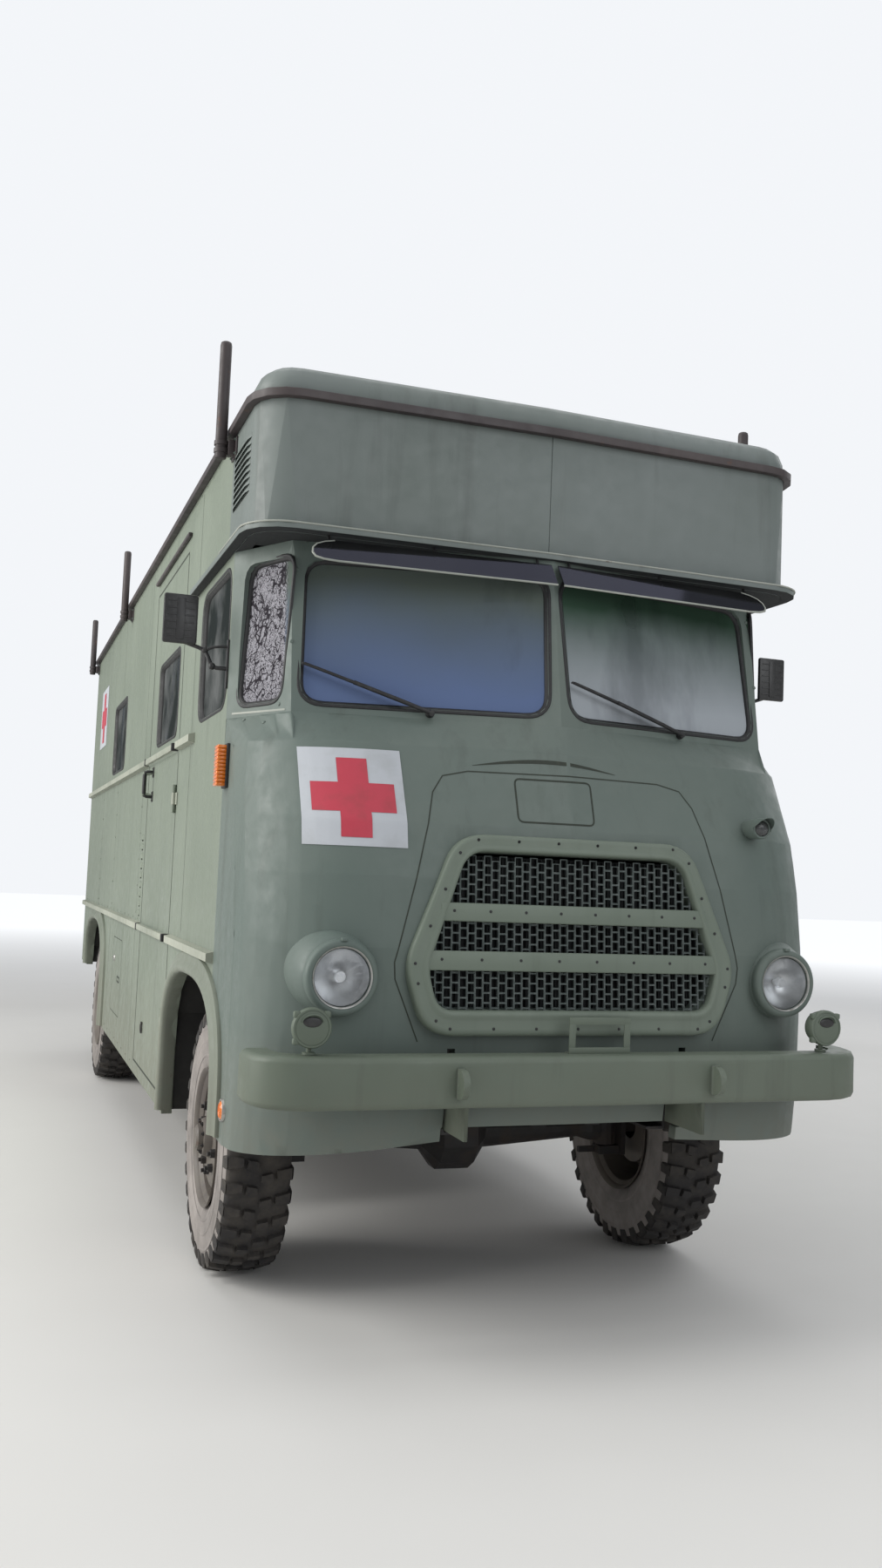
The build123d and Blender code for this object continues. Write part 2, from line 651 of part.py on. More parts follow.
# Mirrors on bent arms from a strip on the corner of the cab
for s in (-1, 1):
    strip = slab(s * HALF_W, s * 1207, 866, 886, 2440, 2640)
    arm = tube([(s * 1204, 876, 2520), (s * 1262, 876, 2520), (s * 1290, 905, 2590), (s * 1400, 930, 2630)], 8)
    arm = arm + tube([(s * 1400, 930, 2626), (s * 1400, 930, 2715)], 8)
    head = slab(s * 1330, s * 1470, 892, 916, 2610, 2815) + rod_y(s * 1400, 910, 934, 2715, 14)
    add("mirrors", strip + arm + head)

# Wipers
frame_solid = PARTS["screen_frame"][0]
for x0, x1 in ((-520, -960), (420, 20)):
    y0 = screen_y(abs(x0), 2332)
    wiper = tube([(x0, y0 - 34, 2332), (x1, screen_y(abs(x1), 2560) - 24, 2560)], 7)
    wiper = wiper + rod_y(x0, y0 - 40, y0 + 30, 2332, 14)
    add("wipers", (wiper - frame_solid).solids().sort_by(SortBy.VOLUME)[-1])

# Chassis frame
for s in (-1, 1):
    rail = slab(s * 380, s * 460, 140, 7860, 770, 950) - slab(s * 370, s * 450, 100, 7900, 780, 940)
    add("chassis_frame", rail)
for y in (200, 2400, 4200, 5400, 7000, 7790):
    add("chassis_frame", slab(-451, 451, y, y + 70, 800, 920) - slab(-440, 440, y - 5, y + 60, 810, 910))
frame_parts = PARTS.pop("chassis_frame")
ladder = frame_parts[0]
for piece in frame_parts[1:]:
    ladder = ladder + piece
for y in (1700, 3500, 5000, 7500):
    for s in (-1, 1):
        ladder = ladder + slab(s * 385, s * 455, y, y + 80, 945, Z_FLOOR - 30)
# tow jaw at the rear: two plates with an upright pin hole
for z in (790, 890):
    jaw = slab(-70, 70, 7855, 7970, z, z + 30) + rod_z(0, 7970, z, z + 30, 70) - pin_z(0, 7970, z - 5, z + 35, 20.5)
    ladder = ladder + (jaw & slab(-80, 80, 7850, 8020, 700, 1000))
ladder = ladder + slab(-90, 90, 7845, 7875, 770, 950)
add("chassis_frame", ladder)
tank = side_plate(round_rect(3600, 4600, 590, 970, 60), 480, 1060)
tank = tank + slab(459, 482, 3700, 3740, 640, 940) + slab(459, 482, 4460, 4500, 640, 940)
add("chassis_frame", tank)

# Axles and leaf springs
def lathe(points, y, z, n=12):
    # profile in (x, radius) turned about the axle line
    return turned_solid(points, n, lambda h, u, v: Vector(h, y + u, z + v))


DIFF_F = [(-150, 80), (-80, 170), (80, 170), (150, 80)]
beam = [(-745, 0), (-745, 62), (-700, 62), (-640, 45)] + DIFF_F + [(640, 45), (700, 62), (745, 62), (745, 0)]
front_beam = lathe(beam, FRONT_Y, HUB_Z)
for s in (-1, 1):
    front_beam = front_beam + rod_z(s * KINGPIN_X, FRONT_Y, HUB_Z - 80, HUB_Z + 80, 52)
for s in (-1, 1):
    front_beam = front_beam - rod_z(s * KINGPIN_X, FRONT_Y, HUB_Z - 100, HUB_Z + 100, 25)
DIFF_R = [(-190, 90), (-95, 210), (95, 210), (190, 90)]
beam = [(-590, 0), (-590, 75)] + DIFF_R + [(590, 75), (590, 0)]
rear_beam = lathe(beam, REAR_Y, HUB_Z) + pin_x(-980, 980, REAR_Y, HUB_Z, 60)
for s in (-1, 1):
    front_beam = front_beam + slab(s * 380, s * 460, FRONT_Y - 60, FRONT_Y + 60, HUB_Z, HUB_Z + 90)
    rear_beam = rear_beam + slab(s * 380, s * 460, REAR_Y - 60, REAR_Y + 60, HUB_Z, HUB_Z + 90)
add("axles", front_beam, rear_beam)
for s in (-1, 1):
    for y, half in ((FRONT_Y, 620), (REAR_Y, 720)):
        spring = None
        for i in range(4):
            length = half * (1 - 0.2 * i)
            leaf = slab(s * 385, s * 455, y - length, y + length, HUB_Z + 132 - i * 14, HUB_Z + 146 - i * 14)
            spring = leaf if spring is None else spring + leaf
        for d in (-half + 20, half - 20):
            spring = spring + slab(s * 385, s * 455, y + d - 20, y + d + 20, HUB_Z + 140, 770)
        add("leaf_springs", spring)

# Engine and gearbox as one plain block
engine = slab(-280, 280, 420, 1100, 740, 1200) + slab(-150, 150, 1090, 1700, 760, 960)
engine = engine + slab(-450, 450, 600, 680, 800, 860) + slab(-450, 450, 1600, 1680, 800, 860)
add("engine", engine)

# Cab seats and dashboard
for x in (-620, 620):
    add("seats", slab(x - 250, x + 250, 1180, 1660, 1580, 1700) + slab(x - 240, x + 240, 1660, 1750, 1600, 2200))
    add("floor", slab(x - 200, x + 200, 1220, 1640, Z_FLOOR, 1580))
dash = slab(-1120, 1120, 150, 700, 2060, 2240) - PARTS["cab_front"][0]
dash = dash.solids().sort_by(SortBy.VOLUME)[-1]
add("dashboard", dash)

# Steering wheel on its tilted column
TILT = 25.0
HUB = (620.0, 1020.0, 2060.0)
hub_plane = Plane(origin=HUB, x_dir=(1, 0, 0), z_dir=(0, sin(radians(TILT)), cos(radians(TILT))))
ring = [(14 * sin(2 * pi * i / 4), 230 + 14 * cos(2 * pi * i / 4)) for i in range(4)]


def on_hub(h, u, v):
    return hub_plane.from_local_coords(Vector(u, v, h))


rim = turned_solid(ring, 20, on_hub)
hub = turned_solid([(-50, 0), (-50, 30), (5, 45), (14, 30), (14, 0)], 8, on_hub)
spokes = None
for a in (90, 210, 330):
    c, d = cos(radians(a)), sin(radians(a))
    spoke = tube([on_hub(-6, 30 * c, 30 * d), on_hub(0, 222 * c, 222 * d)], 9, 4)
    spokes = spoke if spokes is None else spokes + spoke
shaft = hub_plane * Pos(0, 0, -150) * Cylinder(12, 240)
add("steering_wheel", rim + hub + spokes + shaft)
column = hub_plane * Pos(0, 0, -900) * extrude(make_face(Polyline(*ring_points(28, 8), close=True)), 840)
column = column - hub_plane * Pos(0, 0, -305) * extrude(make_face(Polyline(*ring_points(13.3, 8), close=True)), 250)
column = (column - floor).solids().sort_by(SortBy.VOLUME)[-1]
column = (column - PARTS["dashboard"][0]).solids().sort_by(SortBy.VOLUME)[-1]
add("dashboard", column)

# Tyres, rims and hubs
HW = TYRE_W / 2
STEPS = 20


def turned(points, x, y, z, s, n=STEPS):
    # profile in (distance outward along x, radius)
    return turned_solid(points, n, lambda h, u, v: Vector(x + s * h, y + u, z + v))


TYRE = [(-102, RIM_R), (-HW * 0.99, 360), (-HW * 0.95, 490), (-108, 516), (108, 516), (HW * 0.95, 490),
        (HW * 0.99, 360), (102, RIM_R)]
# one lug seen along the tread: from the middle over the shoulder
LUG = [(8, 496), (8, TYRE_R), (106, TYRE_R - 3), (139, 482)]


def tread_lug(angle, flip):
    face = make_face(Polyline(*[(x * flip, r) for x, r in LUG], close=True))
    lug = extrude(face, 38, both=True)
    lug = Pos(0, 500, 0) * Rot(0, 9 * flip, 0) * Pos(0, -500, 0) * lug
    return Rot(angle, 0, 0) * lug


def make_tyre():
    tyre = turned_solid(TYRE, STEPS, lambda h, u, v: Vector(h, u, v))
    lugs = []
    for i in range(0, STEPS, 2):
        lugs.append(tread_lug(360 / STEPS * i, 1))
        lugs.append(tread_lug(360 / STEPS * (i + 1), -1))
    return tyre.fuse(*lugs)


BASE_TYRE = make_tyre()


def tyre_at(x, y, z, s):
    solid = BASE_TYRE if s > 0 else mirror(BASE_TYRE, about=Plane.YZ)
    return Pos(x, y, z) * solid


BARREL = [(-102, RIM_R), (102, RIM_R), (134, 291), (112, 254), (-112, 254), (-134, 291)]
RIM_FRONT = [(165, 0), (165, 60), (112, 100), (112, 185), (75, 257), (58, 257), (98, 185), (60, 200),
             (-70, 200), (-70, 0)]
HUB_REAR = [(-108, 258), (-96, 258), (0, 205), (96, 258), (108, 258), (24, 190), (24, 105), (165, 98),
            (165, 0), (-250, 0), (-250, 200), (-37, 200)]
TWIN_MID = (TWIN_X[0] + TWIN_X[1]) / 2
for s, side in ((-1, "right"), (1, "left")):
    add("tyre_front_" + side, tyre_at(s * FRONT_X, FRONT_Y, HUB_Z, s))
    rim = turned(RIM_FRONT, s * FRONT_X, FRONT_Y, HUB_Z, s) + turned(BARREL, s * FRONT_X, FRONT_Y, HUB_Z, s)
    rim = rim - rod_x(s * (FRONT_X - 80), s * (FRONT_X + 140), FRONT_Y, HUB_Z, 31.2)
    add("rim_front_" + side, rim)
    hub = turned(HUB_REAR, s * TWIN_MID, REAR_Y, HUB_Z, s)
    for x in TWIN_X:
        add("tyre_rear_" + side, tyre_at(s * x, REAR_Y, HUB_Z, s))
        hub = hub + turned(BARREL, s * x, REAR_Y, HUB_Z, s)
    hub = hub - rod_x(s * (TWIN_MID - 260), s * (TWIN_MID + 140), REAR_Y, HUB_Z, 62.3)
    add("rim_rear_" + side, hub)
    knuckle = pin_z(s * KINGPIN_X, FRONT_Y, HUB_Z - 90, HUB_Z + 90, 24)
    for z in (HUB_Z - 125, HUB_Z + 87):
        knuckle = knuckle + slab(s * (KINGPIN_X - 40), s * (KINGPIN_X + 85), FRONT_Y - 40, FRONT_Y + 40, z, z + 38)
    knuckle = knuckle + slab(s * (KINGPIN_X + 62), s * (KINGPIN_X + 85), FRONT_Y - 60, FRONT_Y + 60, HUB_Z - 125, HUB_Z + 125)
    knuckle = knuckle + pin_x(s * (KINGPIN_X + 80), s * (FRONT_X + 130), FRONT_Y, HUB_Z, 30)
    knuckle = knuckle + slab(s * (KINGPIN_X - 120), s * (KINGPIN_X - 30), FRONT_Y + 20, FRONT_Y + 40, HUB_Z - 125, HUB_Z - 100)
    add("knuckle_" + side, knuckle)

# seat the lamps on the front panel
front = PARTS["cab_front"][0]
for name in ("amber_lamps", "lamp_housings"):
    fitted = []
    for solid in PARTS[name]:
        rest = solid - front
        fitted.extend(sorted(rest.solids(), key=lambda q: -q.volume)[:1])
    PARTS[name] = fitted

for name, solids in PARTS.items():
    whole = Compound(label=name, children=[s.moved(Location((0, -Y_MID, 0))) for s in solids])
    export_step(whole, os.path.join("parts", name + ".step"))
    box = whole.bounding_box()
    print(name, len(solids), [round(v) for v in (*box.min, *box.max)])
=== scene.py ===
import json
import math

import bmesh
import bpy
from mathutils import Matrix, Vector
from mathutils.bvhtree import BVHTree

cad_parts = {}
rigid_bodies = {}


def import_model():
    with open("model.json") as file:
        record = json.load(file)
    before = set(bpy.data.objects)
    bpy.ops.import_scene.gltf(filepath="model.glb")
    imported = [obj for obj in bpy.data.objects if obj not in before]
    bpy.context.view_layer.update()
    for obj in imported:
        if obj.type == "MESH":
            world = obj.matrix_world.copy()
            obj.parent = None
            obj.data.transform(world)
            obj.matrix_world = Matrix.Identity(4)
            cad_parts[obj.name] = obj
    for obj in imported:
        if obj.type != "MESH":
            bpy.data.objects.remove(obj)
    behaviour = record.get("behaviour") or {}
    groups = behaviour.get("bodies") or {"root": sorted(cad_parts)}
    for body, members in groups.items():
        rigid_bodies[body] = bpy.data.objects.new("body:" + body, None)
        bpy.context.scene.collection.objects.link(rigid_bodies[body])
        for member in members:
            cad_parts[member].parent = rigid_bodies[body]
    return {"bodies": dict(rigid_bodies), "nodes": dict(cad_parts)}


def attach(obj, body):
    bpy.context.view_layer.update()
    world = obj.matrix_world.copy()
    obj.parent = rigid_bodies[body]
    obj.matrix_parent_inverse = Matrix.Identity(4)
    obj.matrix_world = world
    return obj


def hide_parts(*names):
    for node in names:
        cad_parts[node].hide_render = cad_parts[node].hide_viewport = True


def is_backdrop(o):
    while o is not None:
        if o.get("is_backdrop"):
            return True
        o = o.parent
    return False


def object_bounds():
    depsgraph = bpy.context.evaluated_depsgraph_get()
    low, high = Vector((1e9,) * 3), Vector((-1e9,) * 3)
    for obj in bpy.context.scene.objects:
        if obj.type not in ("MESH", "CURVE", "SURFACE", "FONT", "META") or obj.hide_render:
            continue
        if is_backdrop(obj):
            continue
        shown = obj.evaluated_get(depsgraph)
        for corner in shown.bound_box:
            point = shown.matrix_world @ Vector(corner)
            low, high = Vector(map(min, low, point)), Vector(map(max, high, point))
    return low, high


# Dressing of a military ambulance truck. Metres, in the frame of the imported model.
# Lengths along the truck are counted from the headlamps, as in the part's source.

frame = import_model()
CAD_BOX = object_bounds()

MID = 3.901
HALF = 1.2
FRONT_AXLE, REAR_AXLE, HUB_Z = 1.3, 6.42, 0.55
TYRE_R = 0.55
FRONT_X, TWIN_X = 0.985, (1.015, 0.685)
SILL, HEAD, REAR = 2.312, 3.0, 7.95
BELT, RUB = 2.309, 1.346
ENTRY = (2.21, 3.42)
# wheel arches: first y, last y, height where the curve starts, top, foot of each leg
ARCHES = {"front": (0.62, 2.11, 0.82, 1.25, 0.70, 0.52), "rear": (5.6, 7.24, 0.86, 1.27, 0.51, 0.84)}
SIDES = {"right": -1, "left": 1}
FRONT, ALONG_X, UP = Vector((0, -1, 0)), Vector((1, 0, 0)), Vector((0, 0, 1))


def at(x, y, z):
    return Vector((x, y - MID, z))


# Camera at the photograph's place; its focal length is in pixels of the photograph's height
FOCAL_PX, PHOTO_H = 1483.0, 1800.0
EYE = at(-2.091, -4.365, 1.710)
YAW, PITCH, ROLL = (math.radians(a) for a in (19.28, 4.09, 2.36))


def set_camera():
    forward = Vector((math.sin(YAW) * math.cos(PITCH), math.cos(YAW) * math.cos(PITCH), math.sin(PITCH)))
    level = Vector((math.cos(YAW), -math.sin(YAW), 0))
    up = level.cross(forward)
    right = level * math.cos(ROLL) + up * math.sin(ROLL)
    up = right.cross(forward)
    camera = bpy.data.objects.new("camera", bpy.data.cameras.new("camera"))
    camera.data.lens = FOCAL_PX * 36 / PHOTO_H
    camera.data.clip_end = 200
    rows = [(right[i], up[i], -forward[i], EYE[i]) for i in range(3)] + [(0, 0, 0, 1)]
    camera.matrix_world = Matrix(rows)
    bpy.context.scene.collection.objects.link(camera)
    bpy.context.scene.camera = camera


# Materials
class Nodes:
    """One node tree; a node's inputs take values or the sockets of other nodes."""

    def __init__(self, tree):
        self.tree = tree

    def node(self, kind, inputs=(), **settings):
        node = self.tree.nodes.new(kind)
        for key, value in settings.items():
            setattr(node, key, value)
        for key, value in dict(inputs).items():
            if isinstance(value, bpy.types.NodeSocket):
                self.tree.links.new(value, node.inputs[key])
            else:
                node.inputs[key].default_value = value
        return node

    def math(self, operation, a, b=0.0):
        return self.node("ShaderNodeMath", {0: a, 1: b}, operation=operation).outputs[0]


class Paint(Nodes):
    """A node material under construction."""

    def __init__(self, name):
        self.material = bpy.data.materials.new(name)
        self.material.use_nodes = True
        super().__init__(self.material.node_tree)
        self.shader = self.tree.nodes["Principled BSDF"]
        self.place = self.node("ShaderNodeTexCoord").outputs["Object"]

    def along(self, axis):
        return self.node("ShaderNodeSeparateXYZ", {0: self.place}).outputs[axis]

    def stretched(self, scale):
        return self.node("ShaderNodeMapping", {"Scale": scale, "Vector": self.place}).outputs[0]

    def noise(self, scale, detail=4.0, where=None, roughness=0.55):
        return self.node("ShaderNodeTexNoise", {"Scale": scale, "Detail": detail, "Roughness": roughness,
                                                "Vector": where or self.place}).outputs["Fac"]

    def twigs(self, scale, width):
        """Thin dark lines between cells, bent by noise."""
        place = self.stretched((1, 1, 0.85))
        wave = self.node("ShaderNodeTexNoise", {"Scale": scale * 0.8, "Vector": place})
        bent = self.node("ShaderNodeMix", {0: 0.22, 4: place, 5: wave.outputs["Color"]}, data_type="VECTOR")
        cells = self.node("ShaderNodeTexVoronoi", {"Scale": scale, "Vector": bent.outputs[1]},
                          feature="DISTANCE_TO_EDGE")
        return self.ramp(cells.outputs["Distance"], width * 0.4, width)

    def ramp(self, value, low, high, to_low=0.0, to_high=1.0):
        return self.node("ShaderNodeMapRange", {"Value": value, "From Min": low, "From Max": high,
                                                "To Min": to_low, "To Max": to_high}).outputs["Result"]

    def mix(self, share, first, second):
        first, second = ((*v, 1) if isinstance(v, tuple) else v for v in (first, second))
        return self.node("ShaderNodeMix", {0: share, 6: first, 7: second}, data_type="RGBA").outputs[2]

    def feed(self, key, value):
        self.tree.links.new(value, self.shader.inputs[key])
        return self

    def colour(self, value):
        return self.feed("Base Color", value)

    def rough(self, value, low=0.45, high=0.75):
        return self.feed("Roughness", self.ramp(value, 0.3, 0.7, low, high))

    def bump(self, value, strength, distance=0.002):
        node = self.node("ShaderNodeBump", {"Strength": strength, "Distance": distance, "Height": value})
        last = self.shader.inputs["Normal"].links
        if last:
            self.tree.links.new(last[0].from_socket, node.inputs["Normal"])
        return self.feed("Normal", node.outputs[0])

    def tuned(self, values):
        for key, value in values.items():
            self.shader.inputs[key].default_value = value
        return self


DUST, RUST = (0.18, 0.165, 0.13), (0.09, 0.045, 0.03)


def weathered_paint(name, base, faded, grime, wave=0.25, rust=0.0):
    """Faded in clouds, streaked downwards, dusty at its foot; rust is the share of rusty spots."""
    p = Paint(name)
    broad = p.noise(0.9, 5)
    fine = p.noise(14, 6, roughness=0.65)
    streak = p.noise(1.0, 5, p.stretched((9, 9, 0.7)), 0.6)
    colour = p.mix(p.ramp(broad, 0.35, 0.68), base, faded)
    colour = p.mix(p.ramp(streak, 0.56, 0.78, 0, 0.5), colour, grime)
    colour = p.mix(p.ramp(fine, 0.62, 0.8, 0, 0.18), colour, faded)
    low = p.math("MULTIPLY", p.ramp(p.along("Z"), 1.15, 0.45), p.ramp(fine, 0.3, 0.7, 0.15, 0.6))
    colour = p.mix(low, colour, DUST)
    if rust:
        spot = p.ramp(p.noise(5, 8, roughness=0.72), 0.66 - 0.2 * rust, 0.72 - 0.16 * rust)
        colour = p.mix(spot, colour, RUST)
    p.colour(colour).rough(fine, 0.42, 0.66)
    p.bump(p.noise(1.7, 2), wave, 0.010).bump(p.noise(260, 2), 0.04, 0.001)
    return p.tuned({"Specular IOR Level": 0.42}).material


def plain_finish(name, base, worn, scale, rough=(0.4, 0.7), metal=0.0, bump=0.15):
    p = Paint(name)
    grain = p.noise(scale, 6)
    p.colour(p.mix(p.ramp(grain, 0.5, 0.75), base, worn)).rough(grain, *rough)
    return p.bump(grain, bump, 0.001).tuned({"Metallic": metal}).material


def dusty_rubber(name, scale, detail, low, high, colours, rough, grain):
    p = Paint(name)
    dust = p.noise(scale, 6, roughness=detail)
    p.colour(p.mix(p.ramp(dust, low, high), *colours)).rough(dust, 0.7, rough)
    return p.bump(p.noise(*grain[:2]), grain[2], 0.001).material


def screen_dirt_and_reflections(p):
    """Painted reflections of sky and trees in the dirty screens' film: green above and blue below, paler on
    the truck's left.
    """
    up = p.ramp(p.math("ADD", p.along("Z"), p.ramp(p.noise(1.6, 4), 0.0, 1.0, -0.12, 0.12)), 2.42, 2.84)
    right = p.mix(up, (0.105, 0.145, 0.26), (0.098, 0.118, 0.105))
    left = p.mix(up, (0.33, 0.355, 0.38), (0.036, 0.066, 0.045))
    front = p.mix(p.ramp(p.along("X"), -0.02, 0.02), right, left)
    # Side panes: a painted reflection of branches near the corner, and a dark clouded tone further back
    branch = p.math("MULTIPLY", p.twigs(13, 0.06), p.twigs(31, 0.09))
    corner = p.mix(branch, (0.03, 0.027, 0.032), (0.27, 0.265, 0.29))
    wall = p.mix(p.ramp(p.noise(2.6, 5), 0.42, 0.62), (0.022, 0.026, 0.026), (0.10, 0.105, 0.105))
    side = p.mix(p.ramp(p.along("Y"), -3.02, -3.01), corner, wall)
    return p.mix(p.ramp(p.math("ABSOLUTE", p.along("X")), 1.035, 1.045), front, side)


def clear_sheet(name, tint, reflect, haze, streaks=0.0, film_and_reflections=None):
    """Clear where clean, mirroring at a slant, with a film of dirt; the last argument gives the film's
    colour, which on the screens holds painted reflections.
    """
    p = Paint(name)
    p.tree.nodes.remove(p.shader)
    see = p.node("ShaderNodeBsdfTransparent", {0: (*tint, 1)})
    gloss = p.node("ShaderNodeBsdfGlossy", {"Color": (*reflect, 1), "Roughness": 0.06})
    film = p.node("ShaderNodeBsdfDiffuse", {0: film_and_reflections(p) if film_and_reflections else (0.32, 0.33, 0.33, 1)})
    weight = p.node("ShaderNodeLayerWeight", {"Blend": 0.32})
    clean = p.node("ShaderNodeMixShader",
                   {0: weight.outputs["Fresnel"], 1: see.outputs[0], 2: gloss.outputs[0]})
    # The film's share: dirt, and on the screens also the painted reflections in the film's colour
    film_share = p.ramp(p.noise(3.0, 5, p.stretched((1, 1, 0.35))), 0.3, 0.75, haze * 0.4, haze + streaks)
    filmed = p.node("ShaderNodeMixShader", {0: film_share, 1: clean.outputs[0], 2: film.outputs[0]})
    p.tree.links.new(filmed.outputs[0], p.tree.nodes["Material Output"].inputs["Surface"])
    return p.material


def amber_plastic(name, deep, bright):
    p = Paint(name)
    cell = p.noise(60, 2)
    return p.colour(p.mix(cell, deep, bright)).rough(cell, 0.15, 0.3).tuned({"Coat Weight": 0.5}).material


MAT = {
    "paint": weathered_paint("body_paint", (0.098, 0.128, 0.114), (0.12, 0.146, 0.128), (0.06, 0.073, 0.06)),
    "box": weathered_paint("box_paint", (0.118, 0.14, 0.128), (0.15, 0.172, 0.165), (0.07, 0.08, 0.072)),
    # The side walls' paint is the front's green made lighter: painted light, for the sides lit more brightly
    # than the front
    "side": weathered_paint("side_paint", (0.15, 0.178, 0.138), (0.185, 0.215, 0.17), (0.09, 0.105, 0.08)),
    "lip": weathered_paint("arch_lip", (0.14, 0.16, 0.125), (0.19, 0.21, 0.17), (0.08, 0.085, 0.065),
                           rust=0.12),
    # Pale edge paint: worn edges, and also the painted highlight along the corner plates' feet
    "edge": weathered_paint("worn_edge", (0.22, 0.24, 0.21), (0.34, 0.35, 0.31), (0.12, 0.11, 0.1),
                            rust=0.15),
    "gutter": weathered_paint("gutter_paint", (0.034, 0.028, 0.03), (0.06, 0.047, 0.046),
                              (0.022, 0.017, 0.018), rust=0.3),
    "rail": weathered_paint("worn_rail", (0.24, 0.26, 0.21), (0.36, 0.375, 0.31), (0.13, 0.125, 0.1),
                            rust=0.12),
    "bumper": weathered_paint("bumper_paint", (0.098, 0.122, 0.092), (0.122, 0.148, 0.115),
                              (0.06, 0.07, 0.054)),
    "grille": weathered_paint("grille_paint", (0.125, 0.155, 0.122), (0.15, 0.18, 0.145),
                              (0.08, 0.095, 0.075)),
    "mesh": plain_finish("grille_sheet", (0.11, 0.13, 0.125), (0.18, 0.2, 0.195), 60),
    "shade": plain_finish("radiator_black", (0.016, 0.018, 0.019), (0.03, 0.033, 0.034), 40, (0.8, 0.95)),
    "dark": plain_finish("dark_inside", (0.018, 0.017, 0.016), (0.035, 0.033, 0.03), 12, (0.7, 0.9)),
    "iron": plain_finish("oily_iron", (0.022, 0.02, 0.02), (0.055, 0.042, 0.034), 9, (0.5, 0.85), bump=0.4),
    "rubber": plain_finish("seal_rubber", (0.012, 0.012, 0.013), (0.03, 0.03, 0.032), 50, (0.45, 0.7)),
    "black": plain_finish("black_metal", (0.02, 0.02, 0.021), (0.05, 0.048, 0.045), 45, (0.35, 0.6), 0.3),
    "plastic": plain_finish("black_plastic", (0.02, 0.02, 0.02), (0.035, 0.035, 0.035), 80, (0.3, 0.5)),
    "steel": plain_finish("worn_steel", (0.42, 0.42, 0.4), (0.25, 0.23, 0.2), 40, (0.3, 0.55), 0.9),
    "reflector": plain_finish("lamp_reflector", (0.8, 0.81, 0.82), (0.62, 0.63, 0.64), 20, (0.28, 0.4), 1.0,
                              0.02),
    "rim": weathered_paint("rim_paint", (0.075, 0.062, 0.06), (0.115, 0.095, 0.088), (0.04, 0.035, 0.033),
                           0.05, 0.2),
    "white": plain_finish("white_field", (0.42, 0.44, 0.47), (0.36, 0.375, 0.39), 8, (0.5, 0.7)),
    "red": plain_finish("red_cross", (0.43, 0.035, 0.06), (0.34, 0.04, 0.055), 14, (0.45, 0.65)),
    "seam": plain_finish("seam_shadow", (0.03, 0.036, 0.028), (0.045, 0.052, 0.04), 30, (0.8, 0.95)),
    "cover": plain_finish("seat_cover", (0.05, 0.055, 0.045), (0.09, 0.09, 0.075), 200, (0.75, 0.95),
                          bump=0.5),
    "tyre": dusty_rubber("tyre_rubber", 7, 0.7, 0.42, 0.75, ((0.022, 0.02, 0.02), (0.075, 0.066, 0.056)),
                         0.92, (90, 4, 0.25)),
    "sidewall": dusty_rubber("tyre_sidewall", 5, 0.65, 0.25, 0.65, ((0.13, 0.118, 0.11), (0.3, 0.272, 0.255)),
                             0.95, (120, 3, 0.2)),
    "screen": clear_sheet("screen_glass", (0.5, 0.55, 0.58), (0.6, 0.65, 0.72), 1.5, 0.12, screen_dirt_and_reflections),
    "visor": clear_sheet("visor_tint", (0.05, 0.055, 0.1), (0.35, 0.36, 0.5), 0.05),
    "lens": clear_sheet("lamp_glass", (0.93, 0.94, 0.95), (1, 1, 1), 0.3),
    "amber": amber_plastic("amber_lens", (0.62, 0.13, 0.008), (0.75, 0.2, 0.01)),
    "ruby": amber_plastic("ruby_lens", (0.35, 0.008, 0.006), (0.45, 0.015, 0.01)),
}


# Mesh tools
WELD, DOWNWARD, POLE = 0.0002, -0.7, 1e-6


def evened(piece):
    """Corner normals weighed by face area, so that flat panels stay flat beside their bends."""
    modifier = piece.modifiers.new("even", "WEIGHTED_NORMAL")
    modifier.keep_sharp = True
    bpy.context.view_layer.update()
    graph = bpy.context.evaluated_depsgraph_get()
    mesh = bpy.data.meshes.new_from_object(piece.evaluated_get(graph), depsgraph=graph)
    piece.modifiers.remove(modifier)
    old, piece.data = piece.data, mesh
    bpy.data.meshes.remove(old)
    mesh.name = piece.name


def placed_object(name, data):
    thing = bpy.data.objects.new(name, data)
    bpy.context.scene.collection.objects.link(thing)
    return thing


def mesh_of(name, bm):
    mesh = bpy.data.meshes.new(name)
    bm.to_mesh(mesh)
    bm.free()
    return mesh


def finished(name, mesh, material, body, angle, replaces, even=False):
    piece = placed_object(name, mesh)
    mesh.materials.append(MAT[material])
    mesh.shade_smooth()
    mesh.set_sharp_from_angle(angle=math.radians(angle))
    if even:
        evened(piece)
    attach(piece, body)
    if replaces:
        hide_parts(*replaces)
    return piece


def add_piece(name, bm, material, body="truck", angle=35.0, replaces=(), even=False):
    return finished(name, mesh_of(name, bm), material, body, angle, replaces, even)


def joined(node):
    """The node's triangles as one joined mesh."""
    bm = bmesh.new()
    bm.from_mesh(frame["nodes"][node].data)
    bmesh.ops.remove_doubles(bm, verts=bm.verts, dist=WELD)
    return bm


def body_of(node):
    for body, empty in frame["bodies"].items():
        if frame["nodes"][node].parent == empty:
            return body


def islands(bm):
    """The connected parts of a mesh, each a list of its vertices."""
    seen, found = set(), []
    for seed in bm.verts:
        if seed in seen:
            continue
        island, queue = [], [seed]
        seen.add(seed)
        while queue:
            v = queue.pop()
            island.append(v)
            for e in v.link_edges:
                w = e.other_vert(v)
                if w not in seen:
                    seen.add(w)
                    queue.append(w)
        found.append(island)
    return found


def span(island, axis):
    values = [v.co[axis] for v in island]
    return max(values) - min(values)


